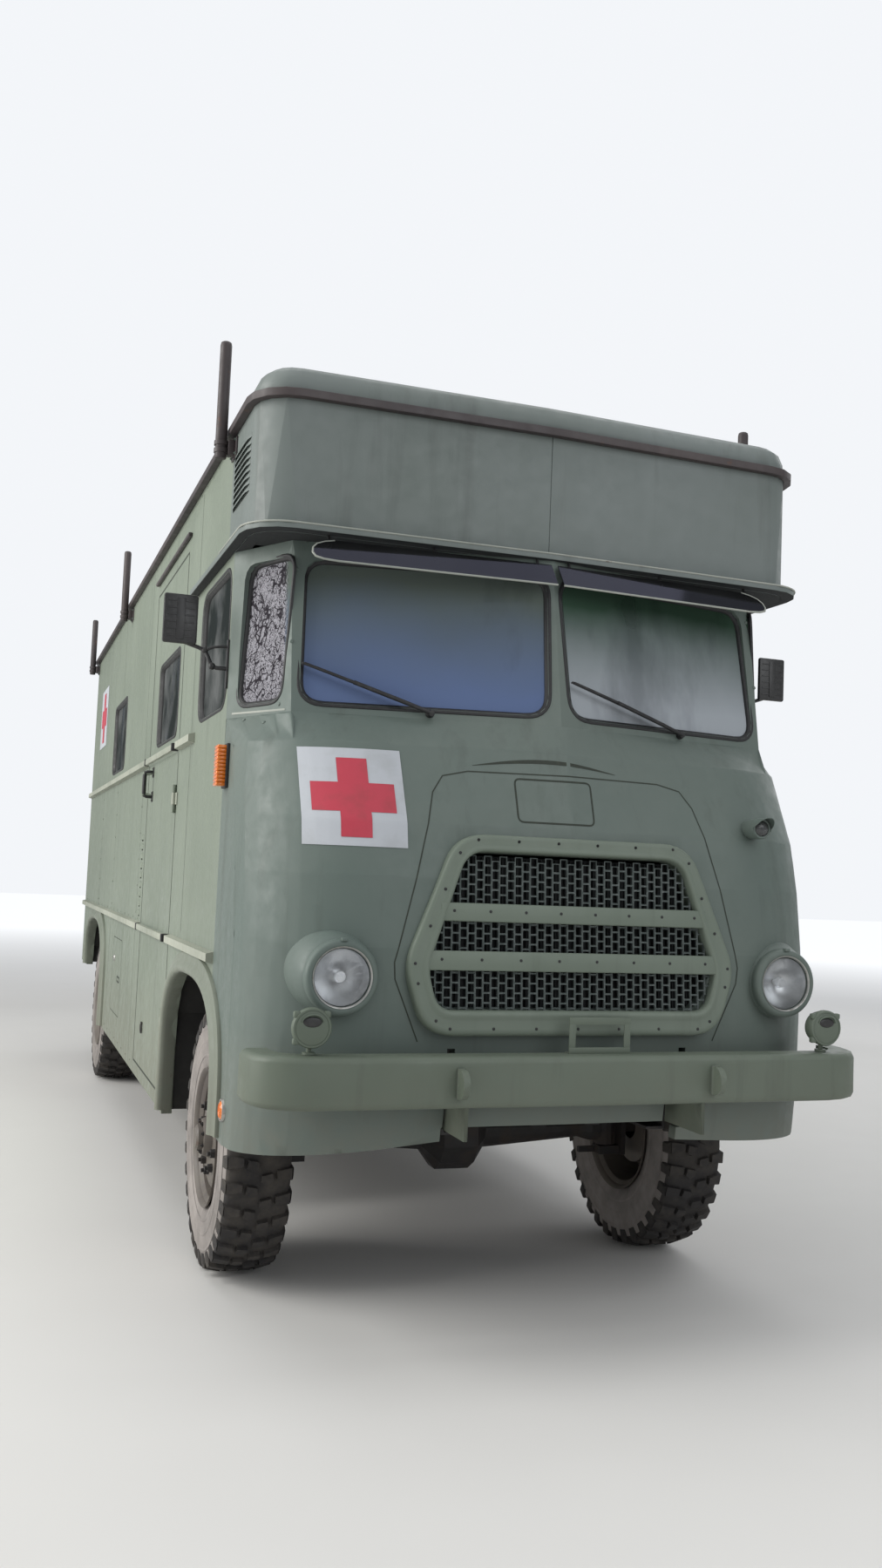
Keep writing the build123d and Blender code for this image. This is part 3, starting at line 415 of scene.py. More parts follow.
def pressed_panel(node, material, angle, edge=0.0, only=None, label="_shell", under=None):
    """The node's own shape with smooth bends and turned edges; undersides below height under are dark, a
    painted shade.
    """
    bm = joined(node)
    if only:
        for island in islands(bm):
            if not only(island):
                bmesh.ops.delete(bm, geom=island, context="VERTS")
    if edge:
        bmesh.ops.dissolve_limit(bm, angle_limit=math.radians(0.5), verts=bm.verts, edges=bm.edges)
        sharp = [e for e in bm.edges if len(e.link_faces) == 2 and e.calc_face_angle() > math.radians(angle)]
        bmesh.ops.bevel(bm, geom=sharp, offset=edge, segments=2, profile=0.5, affect="EDGES",
                        clamp_overlap=True)
    # Downward faces below that height take the dark shade material: painted shade under the ledge
    if under:
        bm.normal_update()
        for face in bm.faces:
            face.material_index = int(face.normal.z < DOWNWARD and face.calc_center_median().z < under)
    piece = add_piece(node + label, bm, material, body_of(node), angle, (node,), even=True)
    if under:
        piece.data.materials.append(MAT["shade"])
    return piece


def coat(node, material):
    data = frame["nodes"][node].data
    data.materials.clear()
    data.materials.append(MAT[material])


def skin(bm, loops, closed=True, ends=False):
    """Quads between rings of points; each ring has as many points as the next."""
    rings = [[bm.verts.new(p) for p in loop] for loop in loops]
    n = len(rings[0])
    pairs = list(zip(rings, rings[1:]))
    if closed:
        pairs.append((rings[-1], rings[0]))
    for a, b in pairs:
        for i in range(n):
            j = (i + 1) % n
            quad = (a[i], a[j], b[j], b[i])
            if len(set(quad)) == 4:
                bm.faces.new(quad)
    if ends:
        bm.faces.new(rings[0])
        bm.faces.new(rings[-1][::-1])
    return rings


def turned(bm, profile, centre, axis, steps):
    """Open or closed profile of (along the axis, radius) turned about an axis through centre."""
    axis = axis.normalized()
    side = axis.orthogonal().normalized()
    across = axis.cross(side)
    poles, rows = {}, []
    for i in range(steps):
        a = 2 * math.pi * i / steps
        out = side * math.cos(a) + across * math.sin(a)
        row = []
        for k, (h, r) in enumerate(profile):
            if r >= POLE:
                row.append(bm.verts.new(centre + axis * h + out * r))
                continue
            if k not in poles:
                poles[k] = bm.verts.new(centre + axis * h)
            row.append(poles[k])
        rows.append(row)
    for a, b in zip(rows, rows[1:] + rows[:1]):
        for k in range(len(profile) - 1):
            face = list(dict.fromkeys((a[k], a[k + 1], b[k + 1], b[k])))
            if len(face) > 2:
                bm.faces.new(face)


def outward(bm):
    bmesh.ops.recalc_face_normals(bm, faces=bm.faces)
    return bm


def box_of(bm, centre, size, edge=0.0, turn=None):
    """A bar with turned edges."""
    made = bmesh.ops.create_cube(bm, size=1.0)["verts"]
    matrix = Matrix.Translation(centre) @ (turn or Matrix.Identity(4)) @ Matrix.Diagonal((*size, 1))
    bmesh.ops.transform(bm, matrix=matrix, verts=made)
    if edge:
        edges = list(dict.fromkeys(e for v in made for e in v.link_edges))
        bmesh.ops.bevel(bm, geom=edges, offset=edge, segments=2, profile=0.5, affect="EDGES")


def boxes(name, rows, material, body="truck", angle=40, replaces=()):
    """One piece of bars, each with its centre, size and edge radius."""
    bm = bmesh.new()
    for row in rows:
        box_of(bm, *row)
    add_piece(name, bm, material, body, angle, replaces)


def lathed(name, profile, centre, axis, steps, material):
    """One turned piece on the truck."""
    bm = bmesh.new()
    turned(bm, profile, centre, axis, steps)
    add_piece(name, outward(bm), material, angle=60)


def bar(bm, points, radius, sides):
    """Round bar along points, mitred at its bends."""
    rings = []
    before = None
    for i, p in enumerate(points):
        a = points[max(i - 1, 0)]
        b = points[min(i + 1, len(points) - 1)]
        along = (b - a).normalized()
        if before is None:
            before = along.orthogonal().normalized()
        before = (before - along * before.dot(along)).normalized()
        across = along.cross(before)
        rings.append([p + (before * math.cos(t) + across * math.sin(t)) * radius
                      for t in (2 * math.pi * k / sides for k in range(sides))])
    skin(bm, rings, closed=False, ends=True)


# Geometry Nodes
class Tree(Nodes):
    """A geometry node tree with named inputs, ending in Realize Instances and Set Material."""

    def __init__(self, name, inputs):
        super().__init__(bpy.data.node_groups.new(name, "GeometryNodeTree"))
        face = self.tree.interface
        face.new_socket(name="Geometry", in_out="INPUT", socket_type="NodeSocketGeometry")
        for label, kind in inputs:
            face.new_socket(name=label, in_out="INPUT", socket_type="NodeSocket" + kind)
        face.new_socket(name="Geometry", in_out="OUTPUT", socket_type="NodeSocketGeometry")
        self.start = self.tree.nodes.new("NodeGroupInput").outputs
        self.stop = self.tree.nodes.new("NodeGroupOutput").inputs

    def node(self, kind, inputs=(), **settings):
        return super().node(kind if kind.startswith("Shader") else "GeometryNode" + kind, inputs, **settings)

    def vector(self, x=0.0, y=0.0, z=0.0):
        return self.node("ShaderNodeCombineXYZ", {0: x, 1: y, 2: z}).outputs[0]

    def end(self, instances):
        real = self.node("RealizeInstances", {"Geometry": instances})
        painted = self.node("SetMaterial", {"Geometry": real.outputs[0], "Material": self.start["Material"]})
        self.tree.links.new(painted.outputs[0], self.stop[0])
        return self.tree


TEMPLATES = []


def grown(name, group, values, material, body, angle, start=None, move=None, replaces=()):
    """Runs a tree with these values and keeps its result as a plain mesh on one body."""
    seed = placed_object(name + "_start", start or bpy.data.meshes.new(name + "_start"))
    modifier = seed.modifiers.new("repeat", "NODES")
    modifier.node_group = group
    values = dict(values, Material=MAT[material])
    for item in group.interface.items_tree:
        if item.in_out == "INPUT" and item.name in values:
            modifier[item.identifier] = values[item.name]
    bpy.context.view_layer.update()
    graph = bpy.context.evaluated_depsgraph_get()
    result = bpy.data.meshes.new_from_object(seed.evaluated_get(graph), depsgraph=graph)
    bpy.data.objects.remove(seed)
    if move:
        result.transform(move)
    result.name = name
    result.materials.clear()
    return finished(name, result, material, body, angle, replaces)


def template(name, bm):
    """A small part for a tree to repeat; it is removed once all pieces are made."""
    part = placed_object(name, mesh_of(name, bm))
    TEMPLATES.append(part)
    return part


def ring_tree():
    """Parts on a ring about X, each turned to face outward."""
    t = Tree("parts_on_a_ring", (("Part", "Object"), ("Count", "Int"), ("Radius", "Float"),
                                 ("First", "Float"), ("Material", "Material")))
    line = t.node("MeshLine", {"Count": t.start["Count"], "Offset": (0, 0, 0)})
    index = t.node("InputIndex").outputs[0]
    step = t.math("DIVIDE", 2 * math.pi, t.start["Count"])
    angle = t.math("ADD", t.math("MULTIPLY", index, step), t.start["First"])
    y = t.math("MULTIPLY", t.math("COSINE", angle), t.start["Radius"])
    z = t.math("MULTIPLY", t.math("SINE", angle), t.start["Radius"])
    spread = t.node("SetPosition", {"Geometry": line.outputs[0], "Position": t.vector(0.0, y, z)})
    part = t.node("ObjectInfo", {"Object": t.start["Part"]})
    placed = t.node("InstanceOnPoints", {"Points": spread.outputs[0], "Instance": part.outputs["Geometry"],
                                         "Rotation": t.vector(angle, 0.0, 0.0)})
    return t.end(placed.outputs[0])


def path_tree():
    """Parts at even steps along a path; the path's points carry each part's turn."""
    t = Tree("parts_along_a_path", (("Part", "Object"), ("Size", "Float"), ("Material", "Material")))
    turn = t.node("InputNamedAttribute", {"Name": "turn"}, data_type="FLOAT_VECTOR").outputs[0]
    part = t.node("ObjectInfo", {"Object": t.start["Part"]})
    size = t.vector(t.start["Size"], t.start["Size"], t.start["Size"])
    placed = t.node("InstanceOnPoints", {"Points": t.start["Geometry"], "Instance": part.outputs["Geometry"],
                                         "Rotation": turn, "Scale": size})
    return t.end(placed.outputs[0])


def sheet_tree():
    """Perforated sheet: upright cells inside the opening's sides, every second column half a cell higher."""
    t = Tree("perforated_sheet", (("Cell", "Object"), ("Columns", "Int"), ("Rows", "Int"), ("Pitch", "Float"),
                                  ("Rise", "Float"), ("Half at top", "Float"), ("Half at bend", "Float"),
                                  ("Half at foot", "Float"), ("Bend height", "Float"), ("Height", "Float"),
                                  ("Material", "Material")))
    s = t.start
    count = t.math("MULTIPLY", s["Columns"], s["Rows"])
    line = t.node("MeshLine", {"Count": count, "Offset": (0, 0, 0)})
    index = t.node("InputIndex").outputs[0]
    row = t.math("FLOOR", t.math("DIVIDE", index, s["Columns"]))
    column = t.math("SUBTRACT", index, t.math("MULTIPLY", row, s["Columns"]))
    shift = t.math("MULTIPLY", t.math("MODULO", column, 2.0), 0.5)
    middle = t.math("DIVIDE", s["Columns"], 2.0)
    x = t.math("MULTIPLY", t.math("SUBTRACT", column, middle), s["Pitch"])
    z = t.math("MULTIPLY", t.math("ADD", row, shift), s["Rise"])
    above = t.math("DIVIDE", t.math("SUBTRACT", z, s["Bend height"]),
                   t.math("SUBTRACT", s["Height"], s["Bend height"]))
    below = t.math("DIVIDE", t.math("SUBTRACT", s["Bend height"], z), s["Bend height"])
    taper = t.math("MULTIPLY", t.math("MAXIMUM", above, 0.0),
                   t.math("SUBTRACT", s["Half at bend"], s["Half at top"]))
    inward = t.math("MULTIPLY", t.math("MAXIMUM", below, 0.0),
                    t.math("SUBTRACT", s["Half at bend"], s["Half at foot"]))
    limit = t.math("SUBTRACT", t.math("SUBTRACT", s["Half at bend"], taper), inward)
    spread = t.node("SetPosition", {"Geometry": line.outputs[0], "Position": t.vector(x, 0.0, z)})
    outside = t.math("GREATER_THAN", t.math("ABSOLUTE", x), limit)
    kept = t.node("DeleteGeometry", {"Geometry": spread.outputs[0], "Selection": outside}, domain="POINT")
    part = t.node("ObjectInfo", {"Object": s["Cell"]})
    placed = t.node("InstanceOnPoints", {"Points": kept.outputs[0], "Instance": part.outputs["Geometry"]})
    return t.end(placed.outputs[0])


RING, PATH, SHEET = ring_tree(), path_tree(), sheet_tree()


def path_of(places):
    """Points with a turn: each place is (position, direction that the part's Z takes)."""
    mesh = bpy.data.meshes.new("path")
    mesh.from_pydata([p for p, d in places], [], [])
    turn = mesh.attributes.new("turn", "FLOAT_VECTOR", "POINT")
    for i, (p, d) in enumerate(places):
        turn.data[i].vector = d.to_track_quat("Z", "Y").to_euler()
    return mesh


def small_parts(name, places, size, material, body="truck", part=None, angle=35.0):
    """The part, a screw's head if none is named, at every place."""
    grown(name, PATH, {"Part": part or SCREW, "Size": size}, material, body, angle, path_of(places))


def screw_head():
    bm = bmesh.new()
    turned(bm, [(0.0, 1.0), (0.35, 0.9), (0.6, 0.5), (0.66, 0.0)], Vector(), UP, 10)
    return template("screw", bm)


def hex_nut():
    bm = bmesh.new()
    bmesh.ops.create_cone(bm, cap_ends=True, segments=6, radius1=1.0, radius2=0.92, depth=1.1)
    bmesh.ops.create_cone(bm, cap_ends=True, segments=8, radius1=0.5, radius2=0.45, depth=2.4)
    return template("nut", bm)


SCREW, NUT = screw_head(), hex_nut()


# The front panel. Its mesh is moved from the plain line of the solid to a fuller one with rounder corners.
# PLAIN rows: height; y at the grille's edge, at the corner's start and where the side begins; flat share.
# FULL rows: height; y at the grille's edge and where the side begins.
CORNER_X, GRILLE_X, LAMP_X, LAMP_Z = 1.03, 0.66, 0.897, 1.347
PLAIN = [(0.66, 0.090, 0.240, 0.520, 0), (0.90, 0.050, 0.210, 0.505, 0), (1.45, 0.028, 0.196, 0.505, 0),
         (1.70, 0.048, 0.215, 0.530, 0.05), (1.90, 0.092, 0.256, 0.580, 0.15),
         (2.20, 0.245, 0.364, 0.745, 0.7), (SILL, 0.3496, 0.425, 0.850, 1.0)]
BENT_FROM = 2.2
FULL = [(0.66, 0.090, 0.470), (0.90, 0.050, 0.450), (1.15, 0.039, 0.440), (1.45, 0.028, 0.440),
        (1.70, 0.048, 0.490), (1.90, 0.092, 0.550), (BENT_FROM, 0.245, 0.700), (SILL, 0.3496, 0.850)]
# power of the fuller curve; how near the plain line a point counts as on it; y where the move fades out
ROUNDNESS, ON_SKIN, DEEPEST = 2.1, 0.012, 0.86


def between(rows, z):
    """The table's values at height z."""
    for low, high in zip(rows, rows[1:]):
        if z <= high[0]:
            f = max(0.0, (z - low[0]) / (high[0] - low[0]))
            return [a + (b - a) * f for a, b in zip(low[1:], high[1:])]
    return list(rows[-1][1:])


def plain_front(x, z):
    """The solid's own line: y of the panel beside the grille."""
    grille, corner, side, flat = between(PLAIN, z)
    if x < CORNER_X:
        return grille + (corner - grille) * (x - GRILLE_X) / (CORNER_X - GRILLE_X)
    share = min((x - CORNER_X) / (HALF - CORNER_X), 1.0)
    bend = 1 - math.sqrt(1 - share * share)
    return corner + (side - corner) * (bend * (1 - flat) + share * flat)


def full_front(x, z):
    """The fuller line, which meets the plain one again at the sill."""
    grille, side = between(FULL, z)
    share = min((x - GRILLE_X) / (HALF - GRILLE_X), 1.0)
    y = grille + (side - grille) * (1 - math.sqrt(1 - share ** ROUNDNESS))
    near_sill = max(0.0, min((z - BENT_FROM) / (SILL - BENT_FROM), 1.0))
    return y * (1 - near_sill) + plain_front(x, z) * near_sill


def fuller_front():
    """The front panel cut fine at its corners and moved to the full line, its lamp pods pressed flat."""
    bm = joined("cab_front")
    lines = [GRILLE_X + 0.045 * i for i in range(1, 12)] + [1.172, 1.183, 1.190, 1.195, 1.198]
    cuts = [(Vector((s * x, 0, 0)), ALONG_X) for s in (-1, 1) for x in lines]
    cuts += [(Vector((0, 0, 0.75 + 0.12 * i)), UP) for i in range(13)]
    for place, normal in cuts:
        bmesh.ops.bisect_plane(bm, geom=bm.verts[:] + bm.edges[:] + bm.faces[:],
                               plane_co=place, plane_no=normal, dist=WELD)
    for v in bm.verts:
        x, y, z = abs(v.co.x), v.co.y + MID, v.co.z
        if x > GRILLE_X:
            plain = plain_front(x, z)
            if abs(y - plain) < ON_SKIN or y < plain:
                v.co.y = full_front(x, z) - MID
            else:
                v.co.y += (full_front(x, z) - plain) * max(0.0, min(1 - (y - plain) / (DEEPEST - plain), 1.0))
    return bm


def surface(*nodes, also):
    """A mesh and some nodes, to cast rays at."""
    bm = bmesh.new()
    bm.from_mesh(also)
    for node in nodes:
        bm.from_mesh(frame["nodes"][node].data)
    tree = BVHTree.FromBMesh(bm)
    bm.free()
    return tree


FRONT_PANEL = add_piece("front_panel", fuller_front(), "paint", "truck", 30, ("cab_front",), even=True)
FRONT_SKIN = surface("screen_frame", also=FRONT_PANEL.data)
SIDE_SKIN = surface("side_wall_right", "side_wall_left", "entry_door_right", "entry_door_left", "roof_box",
                    also=FRONT_PANEL.data)


RAY = 2.4


def met(skin_tree, start, way, lift):
    """The point of the skin that a ray meets, or else the nearest one beside it."""
    place, normal, _, _ = skin_tree.ray_cast(start, way)
    if place is None:
        place, normal, _, _ = skin_tree.find_nearest(start + way * RAY)
    if normal.dot(way) > 0:
        normal = -normal
    return place + normal * lift, normal


def on_front(x, z, lift=0.0):
    """A point of the front, and its normal."""
    return met(FRONT_SKIN, at(x, -2.0, z), Vector((0, 1, 0)), lift)


def on_side(s, y, z, lift=0.0):
    """A point of one side, and its normal; s is the sign of x."""
    return met(SIDE_SKIN, at(s * 3.6, y, z), Vector((-s, 0, 0)), lift)


def laid_patch(bm, spot, u0, u1, v0, v1, steps, lift):
    """A painted field of steps by steps quads on the skin; spot(u, v, lift) gives its points."""
    grid = [[bm.verts.new(spot(u0 + (u1 - u0) * i / steps, v0 + (v1 - v0) * j / steps, lift)[0])
             for j in range(steps + 1)] for i in range(steps + 1)]
    for i in range(steps):
        for j in range(steps):
            bm.faces.new((grid[i][j], grid[i + 1][j], grid[i + 1][j + 1], grid[i][j + 1]))


def facing(bm, direction):
    """Turns the faces of an open sheet towards a direction."""
    bm.normal_update()
    for face in bm.faces:
        if face.normal.dot(direction) < 0:
            face.normal_flip()
    return bm


def laid_line(bm, spot, points, width, lift, step):
    """A joint drawn along points on the skin, with a sample at every step."""
    samples = []
    for (u0, v0), (u1, v1) in zip(points, points[1:]):
        n = max(1, int(math.hypot(u1 - u0, v1 - v0) / step))
        samples += [(u0 + (u1 - u0) * i / n, v0 + (v1 - v0) * i / n) for i in range(n)]
    samples.append(points[-1])
    row = []
    for i, (u, v) in enumerate(samples):
        a, b = samples[max(i - 1, 0)], samples[min(i + 1, len(samples) - 1)]
        du, dv = b[0] - a[0], b[1] - a[1]
        d = math.hypot(du, dv)
        ou, ov = -dv / d * width / 2, du / d * width / 2
        row.append((bm.verts.new(spot(u + ou, v + ov, lift)[0]), bm.verts.new(spot(u - ou, v - ov, lift)[0])))
    for (a, b), (c, d) in zip(row, row[1:]):
        bm.faces.new((a, b, d, c))


# Red crosses on white fields
def red_cross(name, spot, field, middle, arm, half, out):
    """A white field from (u0, u1, v0, v1), and on it a cross about the middle, its arms 2 * arm wide."""
    bm = bmesh.new()
    laid_patch(bm, spot, *field, 36, 0.002)
    add_piece(name + "_field", facing(bm, out), "white")
    bm = bmesh.new()
    u, v = middle
    for a, b, c, d in ((arm, arm, half, -arm), (arm, arm, -arm, half), (half, half, arm, arm)):
        laid_patch(bm, spot, u - a, u + b, v - c, v + d, 10, 0.0034)
    add_piece(name + "_cross", facing(bm, out), "red")


def make_crosses():
    red_cross("front", on_front, (-1.020, -0.655, 1.806, 2.170), (-0.838, 1.984), 0.054, 0.147, FRONT)
    for side, s in SIDES.items():
        red_cross("side_" + side, lambda u, v, lift, s=s: on_side(s, u, v, lift), (6.60, 7.19, 2.68, 3.18),
                  (6.895, 2.93), 0.075, 0.21, Vector((s, 0, 0)))


# Glass and its rubber
def panes(node):
    """Each sheet's outer outline, in order, with its normal."""
    bm = joined(node)
    found = []
    for island in islands(bm):
        faces = [f for v in island for f in v.link_faces]
        normal = max(faces, key=lambda f: f.calc_area()).normal.copy()
        middle = sum((v.co for v in island), Vector()) / len(island)
        if normal.dot(Vector((middle.x, middle.y, 0))) < 0:
            normal = -normal
        reach = max(v.co.dot(normal) for v in island)
        outline = [v.co.copy() for v in island if v.co.dot(normal) > reach - 0.001]
        centre = sum(outline, Vector()) / len(outline)
        up = (UP - normal * normal.z).normalized()
        side = up.cross(normal)
        outline.sort(key=lambda p: math.atan2((p - centre).dot(up), (p - centre).dot(side)))
        found.append((outline, normal))
    bm.free()
    return found


def rounded(outline):
    """The outline with each corner cut once more."""
    out = []
    n = len(outline)
    for i in range(n):
        a, b = outline[i], outline[(i + 1) % n]
        cut = min(0.25, 0.02 / max((b - a).length, 1e-6))
        out += [a.lerp(b, cut), b.lerp(a, cut)]
    return out


# section of the rubber: outward from the pane's edge and above the pane
SEAL = [(-0.012, -0.001), (-0.0115, 0.005), (-0.005, 0.011), (-0.001, 0.018), (0.004, 0.0235),
        (0.010, 0.0245), (0.0145, 0.0215), (0.0155, 0.0145), (0.0, 0.0135), (-0.002, -0.001)]


def seal_round(bm, outline, normal, depth):
    """The rubber round a pane, its face set in by a negative depth."""
    outline = rounded(outline)
    n = len(outline)
    rings = []
    for i in range(n):
        a, p, b = outline[i - 1], outline[i], outline[(i + 1) % n]
        t1, t2 = (p - a).normalized(), (b - p).normalized()
        o1, o2 = t1.cross(normal), t2.cross(normal)
        out = (o1 + o2).normalized()
        out = out / max(out.dot(o1), 0.5)
        rings.append([p + out * u + normal * (h + (depth if h > 0.012 else 0)) for u, h in SEAL])
    skin(bm, rings)


def make_seals():
    for node, body in (("window_glass", "truck"), ("entry_glass_right", "entry_door_right"),
                       ("entry_glass_left", "entry_door_left")):
        bm = bmesh.new()
        for outline, normal in panes(node):
            in_side_wall = abs(normal.x) > 0.98
            seal_round(bm, outline, normal, 0.0 if in_side_wall else -0.006)
        add_piece(node + "_rubber", outward(bm), "rubber", body, 50)
        coat(node, "screen")


# Tyres with block tread
# half section from the bead out to the tread's middle, along the axle and radius
TYRE_HALF = [(0.098, 0.270), (0.118, 0.284), (0.136, 0.330), (0.1435, 0.390), (0.142, 0.440), (0.136, 0.480),
             (0.131, 0.505), (0.118, 0.522), (0.080, 0.530), (0.0, 0.532)]
TREAD_FROM, PITCHES = 0.505, 33


def tread_pitch():
    """One pitch of the tread, pointing along +Y: two middle blocks, two shoulder lugs and their flanks."""
    bm = bmesh.new()

    def block(corners, low, top):
        mx = sum(c[0] for c in corners) / len(corners)
        mz = sum(c[1] for c in corners) / len(corners)
        foot = [bm.verts.new((x, math.sqrt(low(x) ** 2 - z * z), z)) for x, z in corners]
        head = []
        for x, z in corners:
            x, z = x + (mx - x) * 0.1, z + (mz - z) * 0.1
            head.append(bm.verts.new((x, math.sqrt(top(x) ** 2 - z * z), z)))
        n = len(corners)
        for i in range(n):
            j = (i + 1) % n
            bm.faces.new((foot[i], foot[j], head[j], head[i]))
        bm.faces.new(head)

    def crown(x):
        return TYRE_R - 0.35 * max(abs(x) - 0.09, 0) - 0.0008

    def groove(x):
        return 0.524 - 0.5 * max(abs(x) - 0.1, 0)

    def shoulder(x):
        return 0.50 if abs(x) > 0.1 else 0.52

    def side_foot(_):
        return 0.474

    def side_top(x):
        return 0.534 if abs(x) < 0.137 else 0.512

    block([(0.006, -0.004), (0.052, -0.014), (0.058, 0.02), (0.03, 0.036), (0.004, 0.024)], groove, crown)
    block([(-0.006, 0.045), (-0.052, 0.035), (-0.058, 0.07), (-0.03, 0.086), (-0.004, 0.074)], groove, crown)
    block([(0.066, -0.022), (0.133, -0.03), (0.133, 0.024), (0.066, 0.014)], shoulder, crown)
    block([(-0.066, 0.028), (-0.133, 0.02), (-0.133, 0.074), (-0.066, 0.064)], shoulder, crown)
    block([(0.133, -0.03), (0.1415, -0.022), (0.1415, 0.016), (0.133, 0.024)], side_foot, side_top)
    block([(-0.133, 0.02), (-0.1415, 0.028), (-0.1415, 0.066), (-0.133, 0.074)], side_foot, side_top)
    outward(bm)
    return template("tread_pitch", bm)


def make_tyre(name, x, y, body, part, replaces):
    centre = at(x, y, HUB_Z)
    profile = TYRE_HALF + [(-a, r) for a, r in TYRE_HALF[-2::-1]]
    bm = bmesh.new()
    turned(bm, profile, centre, ALONG_X, 72)
    for face in outward(bm).faces:
        middle = face.calc_center_median() - centre
        face.material_index = int(math.hypot(middle.y, middle.z) > TREAD_FROM)
    add_piece(name, bm, "sidewall", body, 60, replaces).data.materials.append(MAT["tyre"])
    grown(name + "_tread", RING, {"Part": part, "Count": PITCHES, "Radius": 0.0, "First": 0.0},
          "tyre", body, 30, move=Matrix.Translation(centre))
    bm = bmesh.new()
    for s in (-1, 1):
        for r in (0.462, 0.40, 0.345):
            bulge = abs(r - 0.41) * 0.09
            rib = [(s * (h - bulge), r + step)
                   for h, step in ((0.1445, -0.006), (0.1462, 0), (0.1445, 0.006))]
            turned(bm, rib, centre, ALONG_X, 48)
    add_piece(name + "_ribs", outward(bm), "sidewall", body, 60)


BARREL = [(-0.104, 0.269), (-0.118, 0.272), (-0.135, 0.284), (-0.139, 0.292), (-0.131, 0.291),
          (-0.112, 0.262), (-0.104, 0.254), (0.0, 0.246), (0.104, 0.254), (0.112, 0.262), (0.131, 0.291),
          (0.139, 0.292), (0.135, 0.284), (0.118, 0.272), (0.104, 0.269), (0.0, 0.268), (-0.104, 0.269)]


def steel_disc(name, x, s, y, body, profile, barrels, nuts, replaces):
    """Disc, hub and rim barrels turned about the axle; nuts: name, count, circle, size, distance out."""
    centre = at(x, y, HUB_Z)
    out = Vector((s, 0, 0))
    bm = bmesh.new()
    turned(bm, profile, centre, out, 56)
    for b in barrels:
        turned(bm, BARREL, at(b, y, HUB_Z), ALONG_X, 56)
    add_piece(name, outward(bm), "rim", body, 35, replaces)
    for label, count, radius, size, h in nuts:
        places = []
        for i in range(count):
            a = 2 * math.pi * (i + 0.5) / count
            places.append((centre + out * h + Vector((0, math.cos(a), math.sin(a))) * radius, out))
        small_parts(name + label, places, size, "iron", body, NUT)


FRONT_DISC = [(0.178, 0.0), (0.178, 0.042), (0.170, 0.052), (0.150, 0.055), (0.150, 0.075), (0.141, 0.080),
              (0.116, 0.086), (0.113, 0.105), (0.112, 0.180), (0.104, 0.205), (0.082, 0.238), (0.074, 0.262),
              (0.060, 0.262), (0.070, 0.238), (0.092, 0.205), (0.100, 0.180), (0.06, 0.175), (-0.05, 0.17),
              (-0.06, 0.06)]
REAR_DISC = [(0.176, 0.0), (0.176, 0.050), (0.168, 0.060), (0.130, 0.064), (0.128, 0.095), (0.040, 0.105),
             (0.026, 0.125), (0.024, 0.190), (0.034, 0.215), (0.096, 0.250), (0.108, 0.264), (0.090, 0.264),
             (0.0, 0.212), (-0.090, 0.264), (-0.108, 0.264), (-0.036, 0.200), (-0.20, 0.190), (-0.21, 0.06)]


def make_wheels():
    part = tread_pitch()
    for side, s in SIDES.items():
        body = "wheel_front_" + side
        make_tyre("tyre_fitted_front_" + side, s * FRONT_X, FRONT_AXLE, body, part, ("tyre_front_" + side,))
        steel_disc("wheel_disc_front_" + side, s * FRONT_X, s, FRONT_AXLE, body, FRONT_DISC, (s * FRONT_X,),
                   (("_nuts", 10, 0.142, 0.019, 0.122), ("_hub_bolts", 8, 0.064, 0.009, 0.152)),
                   ("rim_front_" + side,))
        body = "wheel_rear_" + side
        twin = sum(TWIN_X) / 2
        for i, x in enumerate(TWIN_X):
            make_tyre("tyre_fitted_rear_%s_%d" % (side, i), s * x, REAR_AXLE, body, part,
                      ("tyre_rear_" + side,) if i == 0 else ())
        steel_disc("wheel_disc_rear_" + side, s * twin, s, REAR_AXLE, body, REAR_DISC,
                   [s * x for x in TWIN_X],
                   (("_nuts", 10, 0.148, 0.019, 0.034), ("_hub_bolts", 10, 0.078, 0.009, 0.131)),
                   ("rim_rear_" + side,))


# Grille
GRILLE_FOOT, GRILLE_TOP, GRILLE_BEND = 1.238, 1.808, 1.385
GRILLE_BASE = 1.150
LEANING = Matrix.Rotation(math.radians(-4.2), 4, "X")
GRILLE_TILT = Matrix.Translation(at(0, -0.014, GRILLE_BASE)) @ LEANING


def lean(x, y, z):
    """A point of the grille before it leans back, as a point of the truck."""
    return GRILLE_TILT @ Vector((x, y, z - GRILLE_BASE))


def mesh_cell(pitch, rise):
    """One cell of the sheet round its upright hole, with a turned rim."""
    bm = bmesh.new()
    outer = [(-pitch / 2, -rise / 2), (0, -rise / 2), (pitch / 2, -rise / 2), (pitch / 2, 0),
             (pitch / 2, rise / 2), (0, rise / 2), (-pitch / 2, rise / 2), (-pitch / 2, 0)]
    hole = [(-0.40, -0.41), (0, -0.42), (0.40, -0.41), (0.41, 0), (0.40, 0.41), (0, 0.42), (-0.40, 0.41),
            (-0.41, 0)]
    rings = [[(x, 0.0, z) for x, z in outer], [(a * pitch, -0.003, b * rise) for a, b in hole],
             [(a * pitch * 0.96, 0.005, b * rise * 0.97) for a, b in hole]]
    skin(bm, [[Vector(p) for p in ring] for ring in rings], closed=False)
    return template("cell", facing(bm, FRONT))


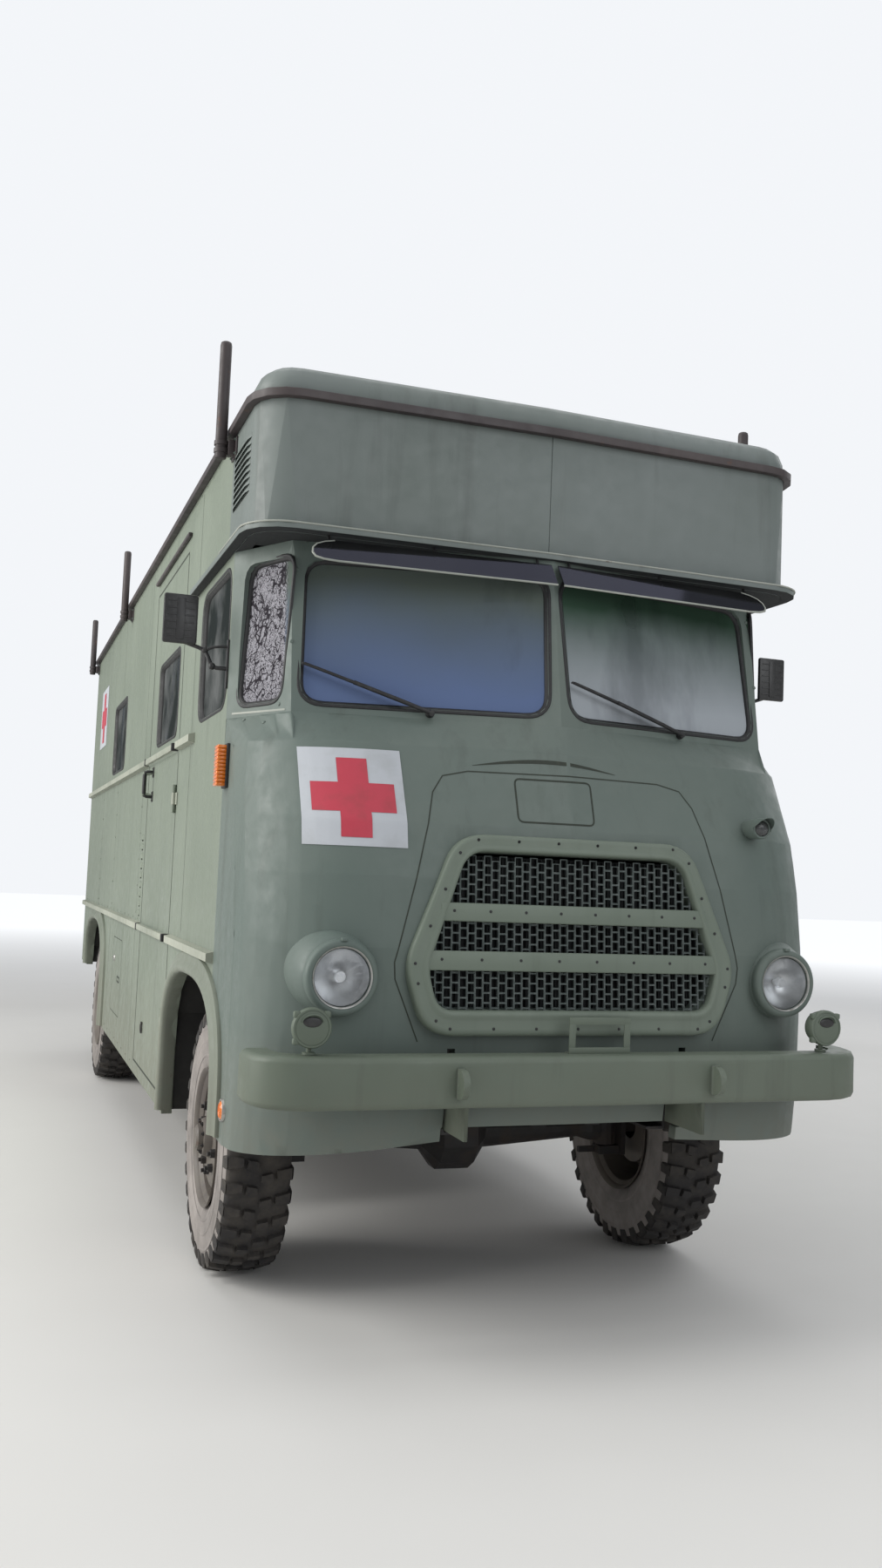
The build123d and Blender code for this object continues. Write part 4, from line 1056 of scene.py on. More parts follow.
def make_grille():
    pitch, rise = 0.0305, 0.0355
    wide, high = 1.19, GRILLE_TOP - GRILLE_FOOT + 0.03
    values = {"Cell": mesh_cell(pitch, rise), "Columns": int(wide / pitch) + 2, "Rows": int(high / rise),
              "Pitch": pitch, "Rise": rise, "Half at top": 0.462, "Half at bend": 0.592, "Half at foot": 0.54,
              "Bend height": GRILLE_BEND - GRILLE_FOOT + 0.01, "Height": high}
    move = GRILLE_TILT @ Matrix.Translation(Vector((0, 0.022, GRILLE_FOOT - 0.01 - GRILLE_BASE)))
    grown("grille_sheet", SHEET, values, "mesh", "truck", 50, move=move, replaces=("grille_mesh",))
    bm = bmesh.new()
    box_of(bm, lean(0, 0.115, 1.52), (1.10, 0.03, 0.56), turn=LEANING)
    for i in range(56):
        box_of(bm, lean(-0.545 + i * 0.0198, 0.094, 1.52), (0.003, 0.02, 0.55), turn=LEANING)
    add_piece("radiator", bm, "shade", "truck")
    make_grille_frame()


# the opening's and the flange's corners; each cross bar's foot, top and half length
HOLE_KEYS = [(-0.438, 1.808), (0.438, 1.808), (0.582, 1.385), (0.545, 1.238), (-0.545, 1.238),
             (-0.582, 1.385)]
RIM_KEYS = [(-0.476, 1.872), (0.476, 1.872), (0.672, 1.395), (0.590, 1.146), (-0.590, 1.146), (-0.672, 1.395)]
BARS = ((1.553, 1.620, 0.54), (1.377, 1.448, 0.585))


def arc_corners(points, radii, steps=7):
    """A closed outline with an arc-like curve at every corner."""
    points = [Vector(p) for p in points]
    out = []
    for i, (b, r) in enumerate(zip(points, radii)):
        a, c = points[i - 1], points[(i + 1) % len(points)]
        start, end = b + (a - b).normalized() * r, b + (c - b).normalized() * r
        for k in range(steps + 1):
            t = k / steps
            out.append(start * (1 - t) ** 2 + b * 2 * t * (1 - t) + end * t * t)
    return out


def make_grille_frame():
    hole = arc_corners(HOLE_KEYS, (0.075, 0.075, 0.05, 0.06, 0.06, 0.05))
    rim = arc_corners(RIM_KEYS, (0.11, 0.11, 0.08, 0.11, 0.11, 0.08))
    bm = bmesh.new()
    rings = []
    for share, depth in ((0, 0.07), (0, 0.004), (0.03, -0.006), (0.10, -0.0125), (0.22, -0.014),
                         (0.34, -0.009), (0.42, -0.0075), (0.72, -0.0095), (0.86, -0.009), (0.95, -0.004),
                         (1.0, 0.006), (1.0, 0.08)):
        rings.append([lean(a.x + (b.x - a.x) * share, depth, a.y + (b.y - a.y) * share)
                      for a, b in zip(hole, rim)])
    skin(bm, rings, closed=False)
    for z0, z1, half in BARS:
        box_of(bm, lean(0, 0.0005, (z0 + z1) / 2), (2 * half, 0.022, z1 - z0), 0.005, LEANING)
    add_piece("grille_surround", outward(bm), "grille", "truck", 50, ("grille_frame",))
    out = (lean(0, -1, 1.5) - lean(0, 0, 1.5)).normalized()
    places = []
    keys = [(-0.40, 1.850), (0.40, 1.850), (0.47, 1.80), (0.634, 1.40), (0.622, 1.33), (0.553, 1.20),
            (0.50, 1.172)]
    keys += [(-x, z) for x, z in keys[::-1]]
    for (x0, z0), (x1, z1) in zip(keys, keys[1:]):
        n = max(1, round(math.hypot(x1 - x0, z1 - z0) / 0.155))
        places += [(lean(x0 + (x1 - x0) * i / n, -0.0085, z0 + (z1 - z0) * i / n), out) for i in range(n)]
    for z0, z1, half in BARS:
        places += [(lean((half - 0.05) * (2 * i / 7 - 1), -0.0095, (z0 + z1) / 2 + 0.004), out)
                   for i in range(8)]
    small_parts("grille_screws", places, 0.006, "black")


# Lamps
def circle_section(radius, middle):
    """A round bar's section for turned, its middle at that distance from the axis."""
    angles = [2 * math.pi * i / 12 for i in range(13)]
    return [(radius * math.sin(a), middle + radius * math.cos(a)) for a in angles]


def merged(bm):
    """Closed where the profile ends on its own start."""
    bmesh.ops.remove_doubles(bm, verts=bm.verts, dist=0.00005)
    return outward(bm)


def make_headlamp(side, s):
    centre = at(s * LAMP_X, 0.0, LAMP_Z)
    bm = bmesh.new()
    pod = [(-0.06, 0.098), (-0.024, 0.100), (-0.020, 0.112), (-0.023, 0.126), (-0.032, 0.1345),
           (-0.052, 0.143), (-0.085, 0.153), (-0.12, 0.162), (-0.165, 0.170), (-0.24, 0.175), (-0.32, 0.176)]
    turned(bm, pod, centre, FRONT, 72)
    for v in bm.verts:
        back = max(0.0, v.co.y - centre.y - 0.022)
        v.co.z += 0.12 * min(back, 0.14)
    add_piece("headlamp_pod_" + side, outward(bm), "paint", "truck", 60)
    bm = bmesh.new()
    turned(bm, [(-0.045, 0.132), (-0.014, 0.1345), (0.002, 0.1305), (0.011, 0.120), (0.008, 0.107),
                (-0.004, 0.1), (-0.03, 0.098)], centre, FRONT, 64)
    box_of(bm, centre + Vector((0, -0.006, 0.131)), (0.022, 0.022, 0.012), 0.003)
    add_piece("headlamp_rim_" + side, outward(bm), "paint", "truck", 60, ("lamp_housings",))
    lathed("headlamp_ring_" + side, [(0.003, 0.1015), (0.009, 0.1035), (0.0105, 0.1075), (0.004, 0.110)],
           centre, FRONT, 64, "steel")
    bm = bmesh.new()
    bowl = [(-0.004, 0.099)] + [(-0.004 - 0.07 * (1 - (r / 0.099) ** 2), r)
                                for r in (0.085, 0.065, 0.045, 0.02)]
    turned(bm, bowl + [(-0.074, 0.0)], centre, FRONT, 48)
    add_piece("headlamp_bowl_" + side, facing(bm, FRONT), "reflector", "truck", 60)
    bm = bmesh.new()
    angles = [math.pi / 2 * k / 10 for k in range(10, 0, -1)]
    dome = [(-0.002 + 0.017 * math.cos(a), 0.1 * math.sin(a)) for a in angles]
    turned(bm, dome + [(0.015, 0.0)], centre, FRONT, 64)
    for v in bm.verts:
        v.co.y += 0.0011 * math.sin((v.co.x - centre.x) * 2 * math.pi / 0.0125)
    add_piece("headlamp_glass_" + side, outward(bm), "lens", "truck", 70, ("lamp_lenses",))
    bm = bmesh.new()
    turned(bm, [(0.0, 0.0), (0.0, 0.012), (-0.05, 0.012)], centre + Vector((0, 0.02, 0)), FRONT, 16)
    turned(bm, [(0.004, 0.0), (0.002, 0.018), (-0.012, 0.022), (-0.02, 0.02)], centre + Vector((0, 0.024, 0)),
           FRONT, 20)
    add_piece("headlamp_bulb_" + side, outward(bm), "reflector", "truck", 60)


def make_covered_lamp(side, s):
    """Blackout lamp on the bumper: a round can on a stem, with a hooded slot and three ears."""
    centre = at(s * 1.020, -0.07, 1.185)
    bm = bmesh.new()
    turned(bm, [(-0.034, 0.0), (-0.034, 0.045), (-0.026, 0.058), (-0.01, 0.0625), (0.024, 0.0635),
                (0.031, 0.0605), (0.034, 0.053), (0.034, 0.0)], centre, FRONT, 40)
    turned(bm, [(0.0, 0.0), (0.0, 0.009), (0.06, 0.009), (0.06, 0.0)],
           centre + Vector((0, 0.005, -0.058)), -UP, 12)
    turned(bm, [(0.0, 0.0), (0.0, 0.022), (0.008, 0.022), (0.010, 0.0)], at(s * 1.020, -0.065, 1.093), UP, 16)
    turned(bm, [(0.012, 0.0625), (0.012, 0.0685), (0.028, 0.0685), (0.033, 0.065), (0.0335, 0.059),
                (0.028, 0.056)],
           centre, FRONT, 40)
    for x, z in ((-0.053, -0.045), (0.053, 0.045), (-0.053, 0.045)):
        box_of(bm, centre + Vector((x, -0.020, z)), (0.022, 0.022, 0.022), 0.005)
    add_piece("covered_lamp_" + side, outward(bm), "bumper", "truck", 50)
    bm = bmesh.new()
    hood, slot = [], centre + Vector((0, 0, 0.021))
    for k in range(13):
        a = math.pi * k / 12
        x, z = -0.036 * math.cos(a), 0.026 * math.sin(a)
        deep = -0.052 + 0.012 * abs(math.cos(a))
        hood.append([slot + Vector(q) for q in ((x, -0.033, z), (x * 1.05, deep, z + 0.002),
                                                (x * 1.02, deep, z - 0.001), (x * 0.95, -0.033, z - 0.002))])
    skin(bm, hood, closed=False, ends=True)
    add_piece("covered_lamp_hood_" + side, outward(bm), "grille", "truck", 50)
    bm = bmesh.new()
    turned(bm, [(0.0, 0.034), (0.003, 0.031), (0.0045, 0.02), (0.005, 0.0)], Vector(), FRONT, 32)
    pressed = Matrix.Translation(slot + Vector((0, -0.033, 0))) @ Matrix.Diagonal((1, 1, 0.55, 1))
    bmesh.ops.transform(bm, matrix=pressed, verts=bm.verts)
    add_piece("covered_lamp_slot_" + side, outward(bm), "plastic", "truck", 60)


def make_hooded_lamp():
    """Small marker lamp high on the front, with a pointed hood."""
    centre = at(0.800, 0.04, 1.950)
    bm = bmesh.new()
    turned(bm, [(-0.12, 0.03), (-0.06, 0.041), (0.0, 0.0415), (0.006, 0.038), (0.004, 0.031)],
           centre, FRONT, 32)
    hood = []
    for k in range(17):
        a = math.pi * (k / 16) * 1.16 - 0.25
        reach = 0.006 + 0.052 * max(0.0, math.sin(a)) ** 0.8
        x, z = -0.0425 * math.cos(a), 0.0425 * math.sin(a)
        hood.append([centre + Vector(q) for q in ((x, 0.012, z), (x, -reach, z), (x * 0.95, -reach, z * 0.95),
                                                  (x * 0.95, 0.010, z * 0.95))])
    skin(bm, hood, closed=False, ends=True)
    add_piece("hooded_lamp", outward(bm), "paint", "truck", 50)
    lathed("hooded_lamp_lens", [(0.0, 0.031), (0.008, 0.026), (0.012, 0.014), (0.013, 0.0)],
           centre, FRONT, 28, "lens")


def make_side_lamps():
    for side, s in SIDES.items():
        out = Vector((s, 0, 0))
        y0, y1, z0, z1, ribs = 0.735, 0.815, 2.032, 2.196, 11
        size = (0.040, y1 - y0, (z1 - z0) / ribs * 0.96)
        rows = [(at(s * 1.228, (y0 + y1) / 2, z0 + (z1 - z0) * (k + 0.5) / ribs), size, 0.0042)
                for k in range(ribs)]
        boxes("indicator_lens_" + side, rows, "amber", angle=50, replaces=("amber_lamps",))
        size = (0.018, y1 - y0 + 0.014, z1 - z0 + 0.014)
        boxes("indicator_base_" + side, [(at(s * 1.204, (y0 + y1) / 2, (z0 + z1) / 2), size, 0.004)],
              "rubber")
        place = on_side(s, 0.485, 0.812)[0]
        bm = bmesh.new()
        turned(bm, [(-0.006, 0.036), (0.006, 0.0345), (0.011, 0.028), (0.0125, 0.0)], place, out, 40)
        for k in (0.010, 0.018, 0.026):
            turned(bm, [(0.0105, k - 0.002), (0.0135, k), (0.0105, k + 0.002)], place, out, 32)
        add_piece("side_reflector_" + side, outward(bm), "amber", "truck", 60)
        rim = [(-0.02, 0.042), (0.006, 0.0425), (0.0095, 0.040), (0.008, 0.036), (-0.004, 0.0355)]
        lathed("side_reflector_rim_" + side, rim, place, out, 40, "steel")


def make_tail_lamps():
    for side, s in SIDES.items():
        boxes("tail_lamp_base_" + side, [(at(s * 0.96, REAR + 0.010, 1.025), (0.200, 0.020, 0.090), 0.004)],
              "rubber")
        for label, x, width, finish in (("stop", 0.905, 0.080, "ruby"), ("turn", 1.005, 0.090, "amber")):
            rows = [(at(s * x, REAR + 0.022, 0.9915 + 0.0134 * k), (width, 0.022, 0.013), 0.003)
                    for k in range(6)]
            boxes("tail_lamp_%s_%s" % (label, side), rows, finish, angle=50)


def make_lamps():
    for side, s in SIDES.items():
        make_headlamp(side, s)
        make_covered_lamp(side, s)
    make_hooded_lamp()
    make_side_lamps()
    make_tail_lamps()


# Arches, rails and air slots
# section of an arch's lip: along the wall from the arch's edge, and out of the wall
ARCH_SECTION = [(-0.006, -0.045), (-0.014, 0.002), (-0.0135, 0.020), (-0.006, 0.031), (0.008, 0.0355),
                (0.022, 0.033), (0.034, 0.024), (0.046, 0.0185), (0.066, 0.0175), (0.077, 0.0145),
                (0.0805, 0.006), (0.0805, -0.004)]
ARCH_STEPS = 44


def arch_path(arch):
    """The arch's line as (y, z): a foot, a flattened half ellipse and the other foot."""
    y0, y1, spring, top, low0, low1 = arch
    mid, half = (y0 + y1) / 2, (y1 - y0) / 2
    line = [(y0, low0)]
    for i in range(ARCH_STEPS + 1):
        t = math.pi * i / ARCH_STEPS
        c, d = math.cos(t), math.sin(t)
        line.append((mid - math.copysign(half * abs(c) ** 0.74, c), spring + (top - spring) * abs(d) ** 0.74))
    return line + [(y1, low1)]


def slim_rails(piece, share):
    """The rails lower than the plain ones, about their own lines; the wall behind them stays."""
    near, proud = 0.03, HALF + 0.0015
    for v in piece.data.vertices:
        for line in (BELT, RUB):
            if abs(v.co.z - line) < near and abs(v.co.x) > proud:
                v.co.z = line + (v.co.z - line) * share


def make_arches():
    for side, s in SIDES.items():
        for end, arch in ARCHES.items():
            path = arch_path(arch)
            rings = []
            for i, (y, z) in enumerate(path):
                a, b = path[max(i - 1, 0)], path[min(i + 1, len(path) - 1)]
                along = (Vector(b) - Vector(a)).normalized()
                rings.append([at(s * (HALF + h), y - along.y * u, z + along.x * u) for u, h in ARCH_SECTION])
            bm = bmesh.new()
            skin(bm, rings, closed=False, ends=True)
            add_piece("arch_%s_%s" % (end, side), outward(bm), "lip", "truck", 50)
    slim_rails(pressed_panel("side_rails", "rail", 30, 0.004, only=lambda part: span(part, 2) < 0.4), 0.7)


def make_door_trim():
    """Worn rails, handle, screws and ring of each entrance door."""
    for side, s in SIDES.items():
        body = "entry_door_" + side
        rails = [(at(s * (HALF + 0.0145), 2.8255, z), (0.033, 1.180, 0.0345), 0.005) for z in (BELT, RUB)]
        ends = [(at(s * (HALF + 0.0155), y, z), (0.037, 0.034, 0.040), 0.004) for z in (BELT, RUB)
                for y in (2.248, 3.404)]
        boxes(body + "_rails", rails, "rail", body)
        boxes(body + "_rail_ends", ends, "rubber", body)
        bm = bmesh.new()
        x0, x1, y, feet = HALF + 0.001, HALF + 0.050, 3.205, (2.240, 2.100)
        bends = [(x0, feet[0]), (x1 - 0.014, 2.239), (x1 - 0.003, 2.235), (x1, 2.222), (x1, 2.118),
                 (x1 - 0.003, 2.105), (x1 - 0.014, 2.101), (x0, feet[1])]
        bar(bm, [at(s * x, y, z) for x, z in bends], 0.0115, 14)
        for z in feet:
            box_of(bm, at(s * (HALF + 0.002), y, z), (0.006, 0.044, 0.060), 0.002)
        add_piece(body + "_handle", bm, "black", body, 50)
        out = Vector((s, 0, 0))
        places = [(at(s * (HALF + 0.006), ENTRY[0] + dy, z + dz), out)
                  for z in (0.925, 2.045) for dz in (-0.05, 0.05) for dy in (0.022, 0.044)]
        places += [(at(s * (HALF + 0.005), y, z + dz), out) for z in feet for dz in (-0.021, 0.021)]
        small_parts(body + "_screws", places, 0.006, "iron", body)
        bm = bmesh.new()
        wire = ((0.0, 0.004), (0.003, 0.0028), (0.004, 0.0), (0.003, -0.0028), (0.0, -0.004),
                (-0.003, -0.0028), (-0.004, 0.0), (-0.003, 0.0028), (0.0, 0.004))
        turned(bm, [(t, 0.026 + r) for t, r in wire], at(s * (HALF + 0.006), 3.08, 0.795), out, 28)
        box_of(bm, at(s * (HALF + 0.004), 3.08, 0.822), (0.010, 0.030, 0.014), 0.002)
        add_piece(body + "_ring", merged(bm), "iron", body, 60)


def hood_part(length, rise, reach):
    """A pressed louvre: its mouth looks down."""
    section = ((1.0, 0.0), (0.75, 0.55), (0.4, 0.9), (0.0, 1.0), (0.0, 0.86), (0.35, 0.76), (0.65, 0.42),
               (0.8, -0.05))
    bm = bmesh.new()
    rings = []
    for k in range(9):
        t = 2 * k / 8 - 1
        grow = max(0.0, 1 - abs(t) ** 6)
        rings.append([Vector((t * length / 2, y * rise, z * reach * grow + 0.0004)) for y, z in section])
    skin(bm, rings, closed=False, ends=True)
    return template("hood", outward(bm))


def make_louvres():
    box_hood, wall_hood = hood_part(0.352, 0.021, 0.011), hood_part(0.078, 0.034, 0.013)
    for side, s in SIDES.items():
        out = Vector((s, 0, 0))
        places = [(at(s * HALF, 0.785, 3.190 + 0.027 * i + 0.004), out) for i in range(9)]
        small_parts("box_louvres_" + side, places, 1.0, "box", part=box_hood, angle=40)
        places = [(at(s * HALF, 3.5625, 1.400 + 0.056 * i + 0.008), out) for i in range(9)]
        small_parts("wall_louvres_" + side, places, 1.0, "side", part=wall_hood, angle=40)


# Visors, mirrors, wipers and posts
def make_visors():
    """Tinted blades; each outline point is (distance from the middle, share of the height)."""
    outline = [(0.014, 0.16), (0.90, 0.16), (0.955, 0.19), (0.985, 0.26), (0.994, 0.38), (0.990, 0.54),
               (0.972, 0.68), (0.94, 0.78), (0.90, 0.84), (0.014, 0.84)]
    slant = 0.0594
    for side, s in SIDES.items():
        def spot(x, share, lift=0.0):
            low, top = at(s * x, 0.2456 + slant * x, 2.862), at(s * x, 0.3514 + slant * x, HEAD)
            out = (top - low).cross(Vector((s, slant, 0))).normalized() * s
            return low.lerp(top, share) + out * lift

        bm = bmesh.new()
        skin(bm, [[spot(x, v, h) for x, v in outline] for h in (0.0, 0.005)], closed=False, ends=True)
        add_piece("visor_blade_" + side, outward(bm), "visor", "truck", 40, ("visors",))
        bm = bmesh.new()
        bar(bm, [spot(x, v, 0.0025) for x, v in outline[:9]], 0.0042, 8)
        add_piece("visor_frame_" + side, outward(bm), "edge", "truck", 50)
        bm = bmesh.new()
        for x in (0.07, 0.50, 0.92):
            bar(bm, [spot(x, 0.62, 0.006), spot(x, 0.80, 0.008), spot(x, 0.985, 0.002)], 0.006, 8)
            turned(bm, [(0.0, 0.0), (0.0, 0.011), (0.005, 0.009), (0.006, 0.0)], spot(x, 0.64, 0.005),
                   spot(x, 0.5, 1.0) - spot(x, 0.5, 0.0), 12)
        add_piece("visor_hangers_" + side, outward(bm), "black", "truck", 50)


def make_mirrors():
    for side, s in SIDES.items():
        bm = bmesh.new()
        box_of(bm, at(s * (HALF + 0.0045), 0.876, 2.540), (0.009, 0.024, 0.200), 0.002)
        arm = [(1.204, 0.876, 2.520), (1.250, 0.876, 2.520), (1.268, 0.880, 2.528), (1.284, 0.896, 2.570),
               (1.294, 0.907, 2.592), (1.320, 0.914, 2.604), (1.380, 0.926, 2.624), (1.396, 0.930, 2.636),
               (1.400, 0.930, 2.660), (1.400, 0.930, 2.715)]
        bar(bm, [at(s * x, y, z) for x, y, z in arm], 0.0085, 12)
        arm = [(1.204, 0.876, 2.610), (1.232, 0.878, 2.610), (1.262, 0.886, 2.606), (1.292, 0.904, 2.594)]
        bar(bm, [at(s * x, y, z) for x, y, z in arm], 0.006, 10)
        for x, y, z, r in ((1.266, 0.879, 2.526, 0.015), (1.294, 0.906, 2.592, 0.014),
                           (1.400, 0.930, 2.715, 0.019)):
            ball = [(r * math.cos(a), r * math.sin(a)) for a in (math.pi * k / 8 for k in range(9))]
            turned(bm, ball, at(s * x, y, z), UP, 16)
        add_piece("mirror_arm_" + side, merged(bm), "black", "truck", 50, ("mirrors",))
        x, z = s * 1.400, 2.7125
        rows = [(at(x, 0.904, z), (0.138, 0.023, 0.203), 0.009)]
        rows += [(at(x, 0.8925, 2.640 + 0.029 * k), (0.112, 0.004, 0.006), 0.0015) for k in range(6)]
        rows += [(at(x, 0.8915, z), (0.034, 0.005, 0.17), 0.002)]
        boxes("mirror_head_" + side, rows, "plastic")
        boxes("mirror_glass_" + side, [(at(x, 0.9152, z), (0.122, 0.003, 0.186), 0.001)], "reflector")


# pivot, far end and near end of each wiper blade as (x, z)
WIPERS = {"right": ((-0.510, 2.332), (-0.985, 2.500), (-0.620, 2.372)),
          "left": ((0.590, 2.332), (0.060, 2.492), (0.470, 2.375))}
# the glass: y at the middle and at that x, both at the sill, and y gained per metre of height
GLASS_MID, GLASS_SIDE, GLASS_X, GLASS_RAKE = 0.215, 0.425, 1.03, 0.19
BLADE = ((-0.001, 0.004), (-0.004, 0.014), (-0.0045, 0.021), (0.0045, 0.021), (0.004, 0.014), (0.001, 0.004))


def make_wipers():
    for side, (pivot, far, near) in WIPERS.items():
        def over(share, lift):
            """A point of the blade's line, lifted off the glass."""
            x, z = (a + (b - a) * share for a, b in zip(far, near))
            glass_y = GLASS_MID + (GLASS_SIDE - GLASS_MID) * abs(x) / GLASS_X + (z - SILL) * GLASS_RAKE - MID
            return Vector((x, glass_y - lift, z))

        bm = bmesh.new()
        foot, middle = on_front(*pivot)[0], over(0.5, 0.030)
        turned(bm, [(-0.01, 0.016), (0.012, 0.016), (0.016, 0.012), (0.030, 0.0115), (0.034, 0.0)],
               foot, FRONT, 20)
        bar(bm, [foot + FRONT * 0.026, foot.lerp(middle, 0.3) + FRONT * 0.024, middle], 0.0085, 8)
        bar(bm, [over(0.0, 0.022), over(0.18, 0.027), middle, over(0.82, 0.027), over(1.0, 0.022)], 0.0062, 8)
        for a, b, c in ((0.12, 0.3, 0.5), (0.5, 0.7, 0.88)):
            bar(bm, [over(a, 0.024), over(b, 0.017), over(c, 0.024)], 0.003, 6)
        add_piece("wiper_arm_" + side, outward(bm), "black", "truck", 50, ("wipers",))
        across = (over(1.0, 0) - over(0.0, 0)).normalized().cross(-FRONT)
        line = [over(-0.02 + 1.04 * i / 12, 0.0) for i in range(13)]
        bm = bmesh.new()
        skin(bm, [[p + across * a + FRONT * b for a, b in BLADE] for p in line], closed=False, ends=True)
        add_piece("wiper_rubber_" + side, outward(bm), "rubber", "truck", 50)


def make_posts():
    for side, s in SIDES.items():
        for k, y in enumerate((0.98, 4.95, 7.78)):
            bm = bmesh.new()
            centre = at(s * (HALF + 0.062), y, 3.420)
            turned(bm, [(0.0, 0.0), (0.002, 0.022), (0.006, 0.0245), (0.488, 0.0245), (0.500, 0.022),
                        (0.504, 0.016), (0.505, 0.0)], centre, UP, 28)
            for z in (0.034, 0.066):
                low, top = z - 0.009, z + 0.009
                turned(bm, [(low, 0.0245), (low, 0.029), (top, 0.029), (top, 0.0245)], centre, UP, 28)
            box_of(bm, at(s * (HALF + 0.018), y, 3.470), (0.036, 0.058, 0.062), 0.004)
            box_of(bm, at(s * (HALF + 0.003), y, 3.470), (0.008, 0.11, 0.085), 0.002)
            add_piece("post_%s_%d" % (side, k), outward(bm), "gutter", "truck", 45, ("posts",))
            out = Vector((s, 0, 0))
            places = [(at(s * (HALF + 0.007), y + dy, 3.470 + dz), out)
                      for dy in (-0.044, 0.044) for dz in (-0.03, 0.03)]
            small_parts("post_bolts_%s_%d" % (side, k), places, 0.007, "paint", part=NUT)


# Cab inside
# squareness of the corners; how far sides are drawn in; channels: half their number, depth and width
SQUARENESS, DRAWN_IN, CHANNELS, DEPTH, WIDTH = 7.0, 0.035, 2.5, 0.10, 0.16


def cushion(name, low, high, crown):
    """A crowned closed cushion filling the box from low to high, its sides drawn in between its corners."""
    bm = bmesh.new()
    bmesh.ops.create_cube(bm, size=2.0)
    bmesh.ops.subdivide_edges(bm, edges=bm.edges, cuts=15, use_grid_fill=True)
    middle, half = (low + high) / 2, (high - low) / 2
    thin = min(range(3), key=lambda i: half[i])
    wide = [i for i in range(3) if i != thin]
    for v in bm.verts:
        p = v.co / sum(abs(c) ** SQUARENESS for c in v.co) ** (1 / SQUARENESS)
        dome = (1 - p[wide[0]] ** 2) * (1 - p[wide[1]] ** 2)
        q = p.copy()
        q[thin] = p[thin] * (1 - crown + crown * dome)
        for i, j in (wide, wide[::-1]):
            q[i] = p[i] * (1 - DRAWN_IN * (1 - p[j] ** 2))
        channel = abs(math.sin(q[wide[0]] * math.pi * CHANNELS))
        if p[thin] > 0:
            q[thin] -= DEPTH * math.exp(-(channel / WIDTH) ** 2) * dome ** 0.5
        v.co = Vector(middle[i] + half[i] * q[i] for i in range(3))
    piece = add_piece(name, outward(bm), "cover", "truck", 180, ("seats",))


def make_cab_inside():
    for side, s in SIDES.items():
        x0, x1 = sorted((s * 0.62 - 0.25, s * 0.62 + 0.25))
        cushion("seat_pad_" + side, at(x0, 1.18, 1.58), at(x1, 1.66, 1.70), 0.3)
        cushion("seat_back_" + side, at(x0 + 0.01, 1.665, 1.60), at(x1 - 0.01, 1.75, 2.20), 0.25)
    tilt = math.radians(25)
    axis, hub = Vector((0, math.sin(tilt), math.cos(tilt))), at(0.62, 1.02, 2.06)
    bm = bmesh.new()
    turned(bm, circle_section(0.014, 0.230), hub, axis, 64)
    turned(bm, [(-0.05, 0.0), (-0.05, 0.03), (-0.01, 0.042), (0.006, 0.044), (0.014, 0.036), (0.017, 0.0)],
           hub, axis, 32)
    side = axis.orthogonal().normalized()
    across = axis.cross(side)
    for k in range(3):
        a = math.radians(90 + 120 * k)
        out = side * math.cos(a) + across * math.sin(a)
        bar(bm, [hub + out * 0.03 - axis * 0.006, hub + out * 0.13 - axis * 0.012, hub + out * 0.226],
            0.008, 10)
    turned(bm, [(-0.27, 0.0), (-0.27, 0.0125), (-0.03, 0.0125), (-0.03, 0.0)], hub, axis, 20)
    add_piece("steering_wheel_rim", merged(bm), "plastic", "steering_wheel", 50, ("steering_wheel",))


# Joints, plates and fasteners drawn on the skin
def round_box(x0, x1, z0, z1, r):
    """A closed line round a field, its corners rounded."""
    points = arc_corners([(x0, z0), (x1, z0), (x1, z1), (x0, z1)], (r,) * 4, 4)
    return [tuple(p) for p in points + points[:1]]


def front_line(name, points, width, material, lift=0.0008):
    bm = bmesh.new()
    laid_line(bm, on_front, points, width, lift, 0.03)
    add_piece(name, facing(bm, FRONT), material, "truck", 60)


def make_front_marks():
    front_line("badge_plate_edge", round_box(-0.22, 0.09, 1.925, 2.090, 0.022), 0.007, "seam")
    for side, s in SIDES.items():
        joint = [(0.0, 2.112), (0.40, 2.108), (0.50, 2.085), (0.545, 2.02), (0.70, 1.40), (0.695, 1.34),
                 (0.60, 1.12)]
        front_line("access_joint_" + side, [(s * x, z) for x, z in joint], 0.005, "seam")
    # A dark strip that tapers at both ends: painted shade along the pressed crease above the badge
    crease = [(-0.38 + 0.59 * k / 16, 2.132 + 0.030 * math.sin(math.pi * k / 16)) for k in range(17)]
    bm = bmesh.new()
    rows = []
    for k, (x, z) in enumerate(crease):
        w = 0.007 * math.sin(math.pi * k / 16) + 0.0008
        rows.append((bm.verts.new(on_front(x, z + w, 0.001)[0]), bm.verts.new(on_front(x, z - w, 0.001)[0])))
    for (a, b), (c, d) in zip(rows, rows[1:]):
        bm.faces.new((a, b, d, c))
    add_piece("pressed_crease", facing(bm, FRONT), "seam", "truck", 60)
    for side, s in SIDES.items():
        # A pale strip at the foot of each corner plate: painted highlight of the step's lit edge
        foot = [(s * 1.045, 2.322), (s * 1.12, 2.326), (s * 1.185, 2.330)]
        front_line("corner_plate_foot_" + side, foot, 0.008, "edge", 0.0012)
        places = [on_front(s * x, z) for x, z in ((1.155, 2.296), (1.105, 2.276), (1.06, 2.345), (1.05, 2.60),
                                                  (1.05, 2.90))]
        small_parts("corner_rivets_" + side, places, 0.008, "paint")
    # rivets of the box above the screen and of its ledge
    places = [on_front(x / 10, z) for z in (3.050, 3.500) for x in range(-10, 11)]
    small_parts("box_rivets", places, 0.0055, "box")


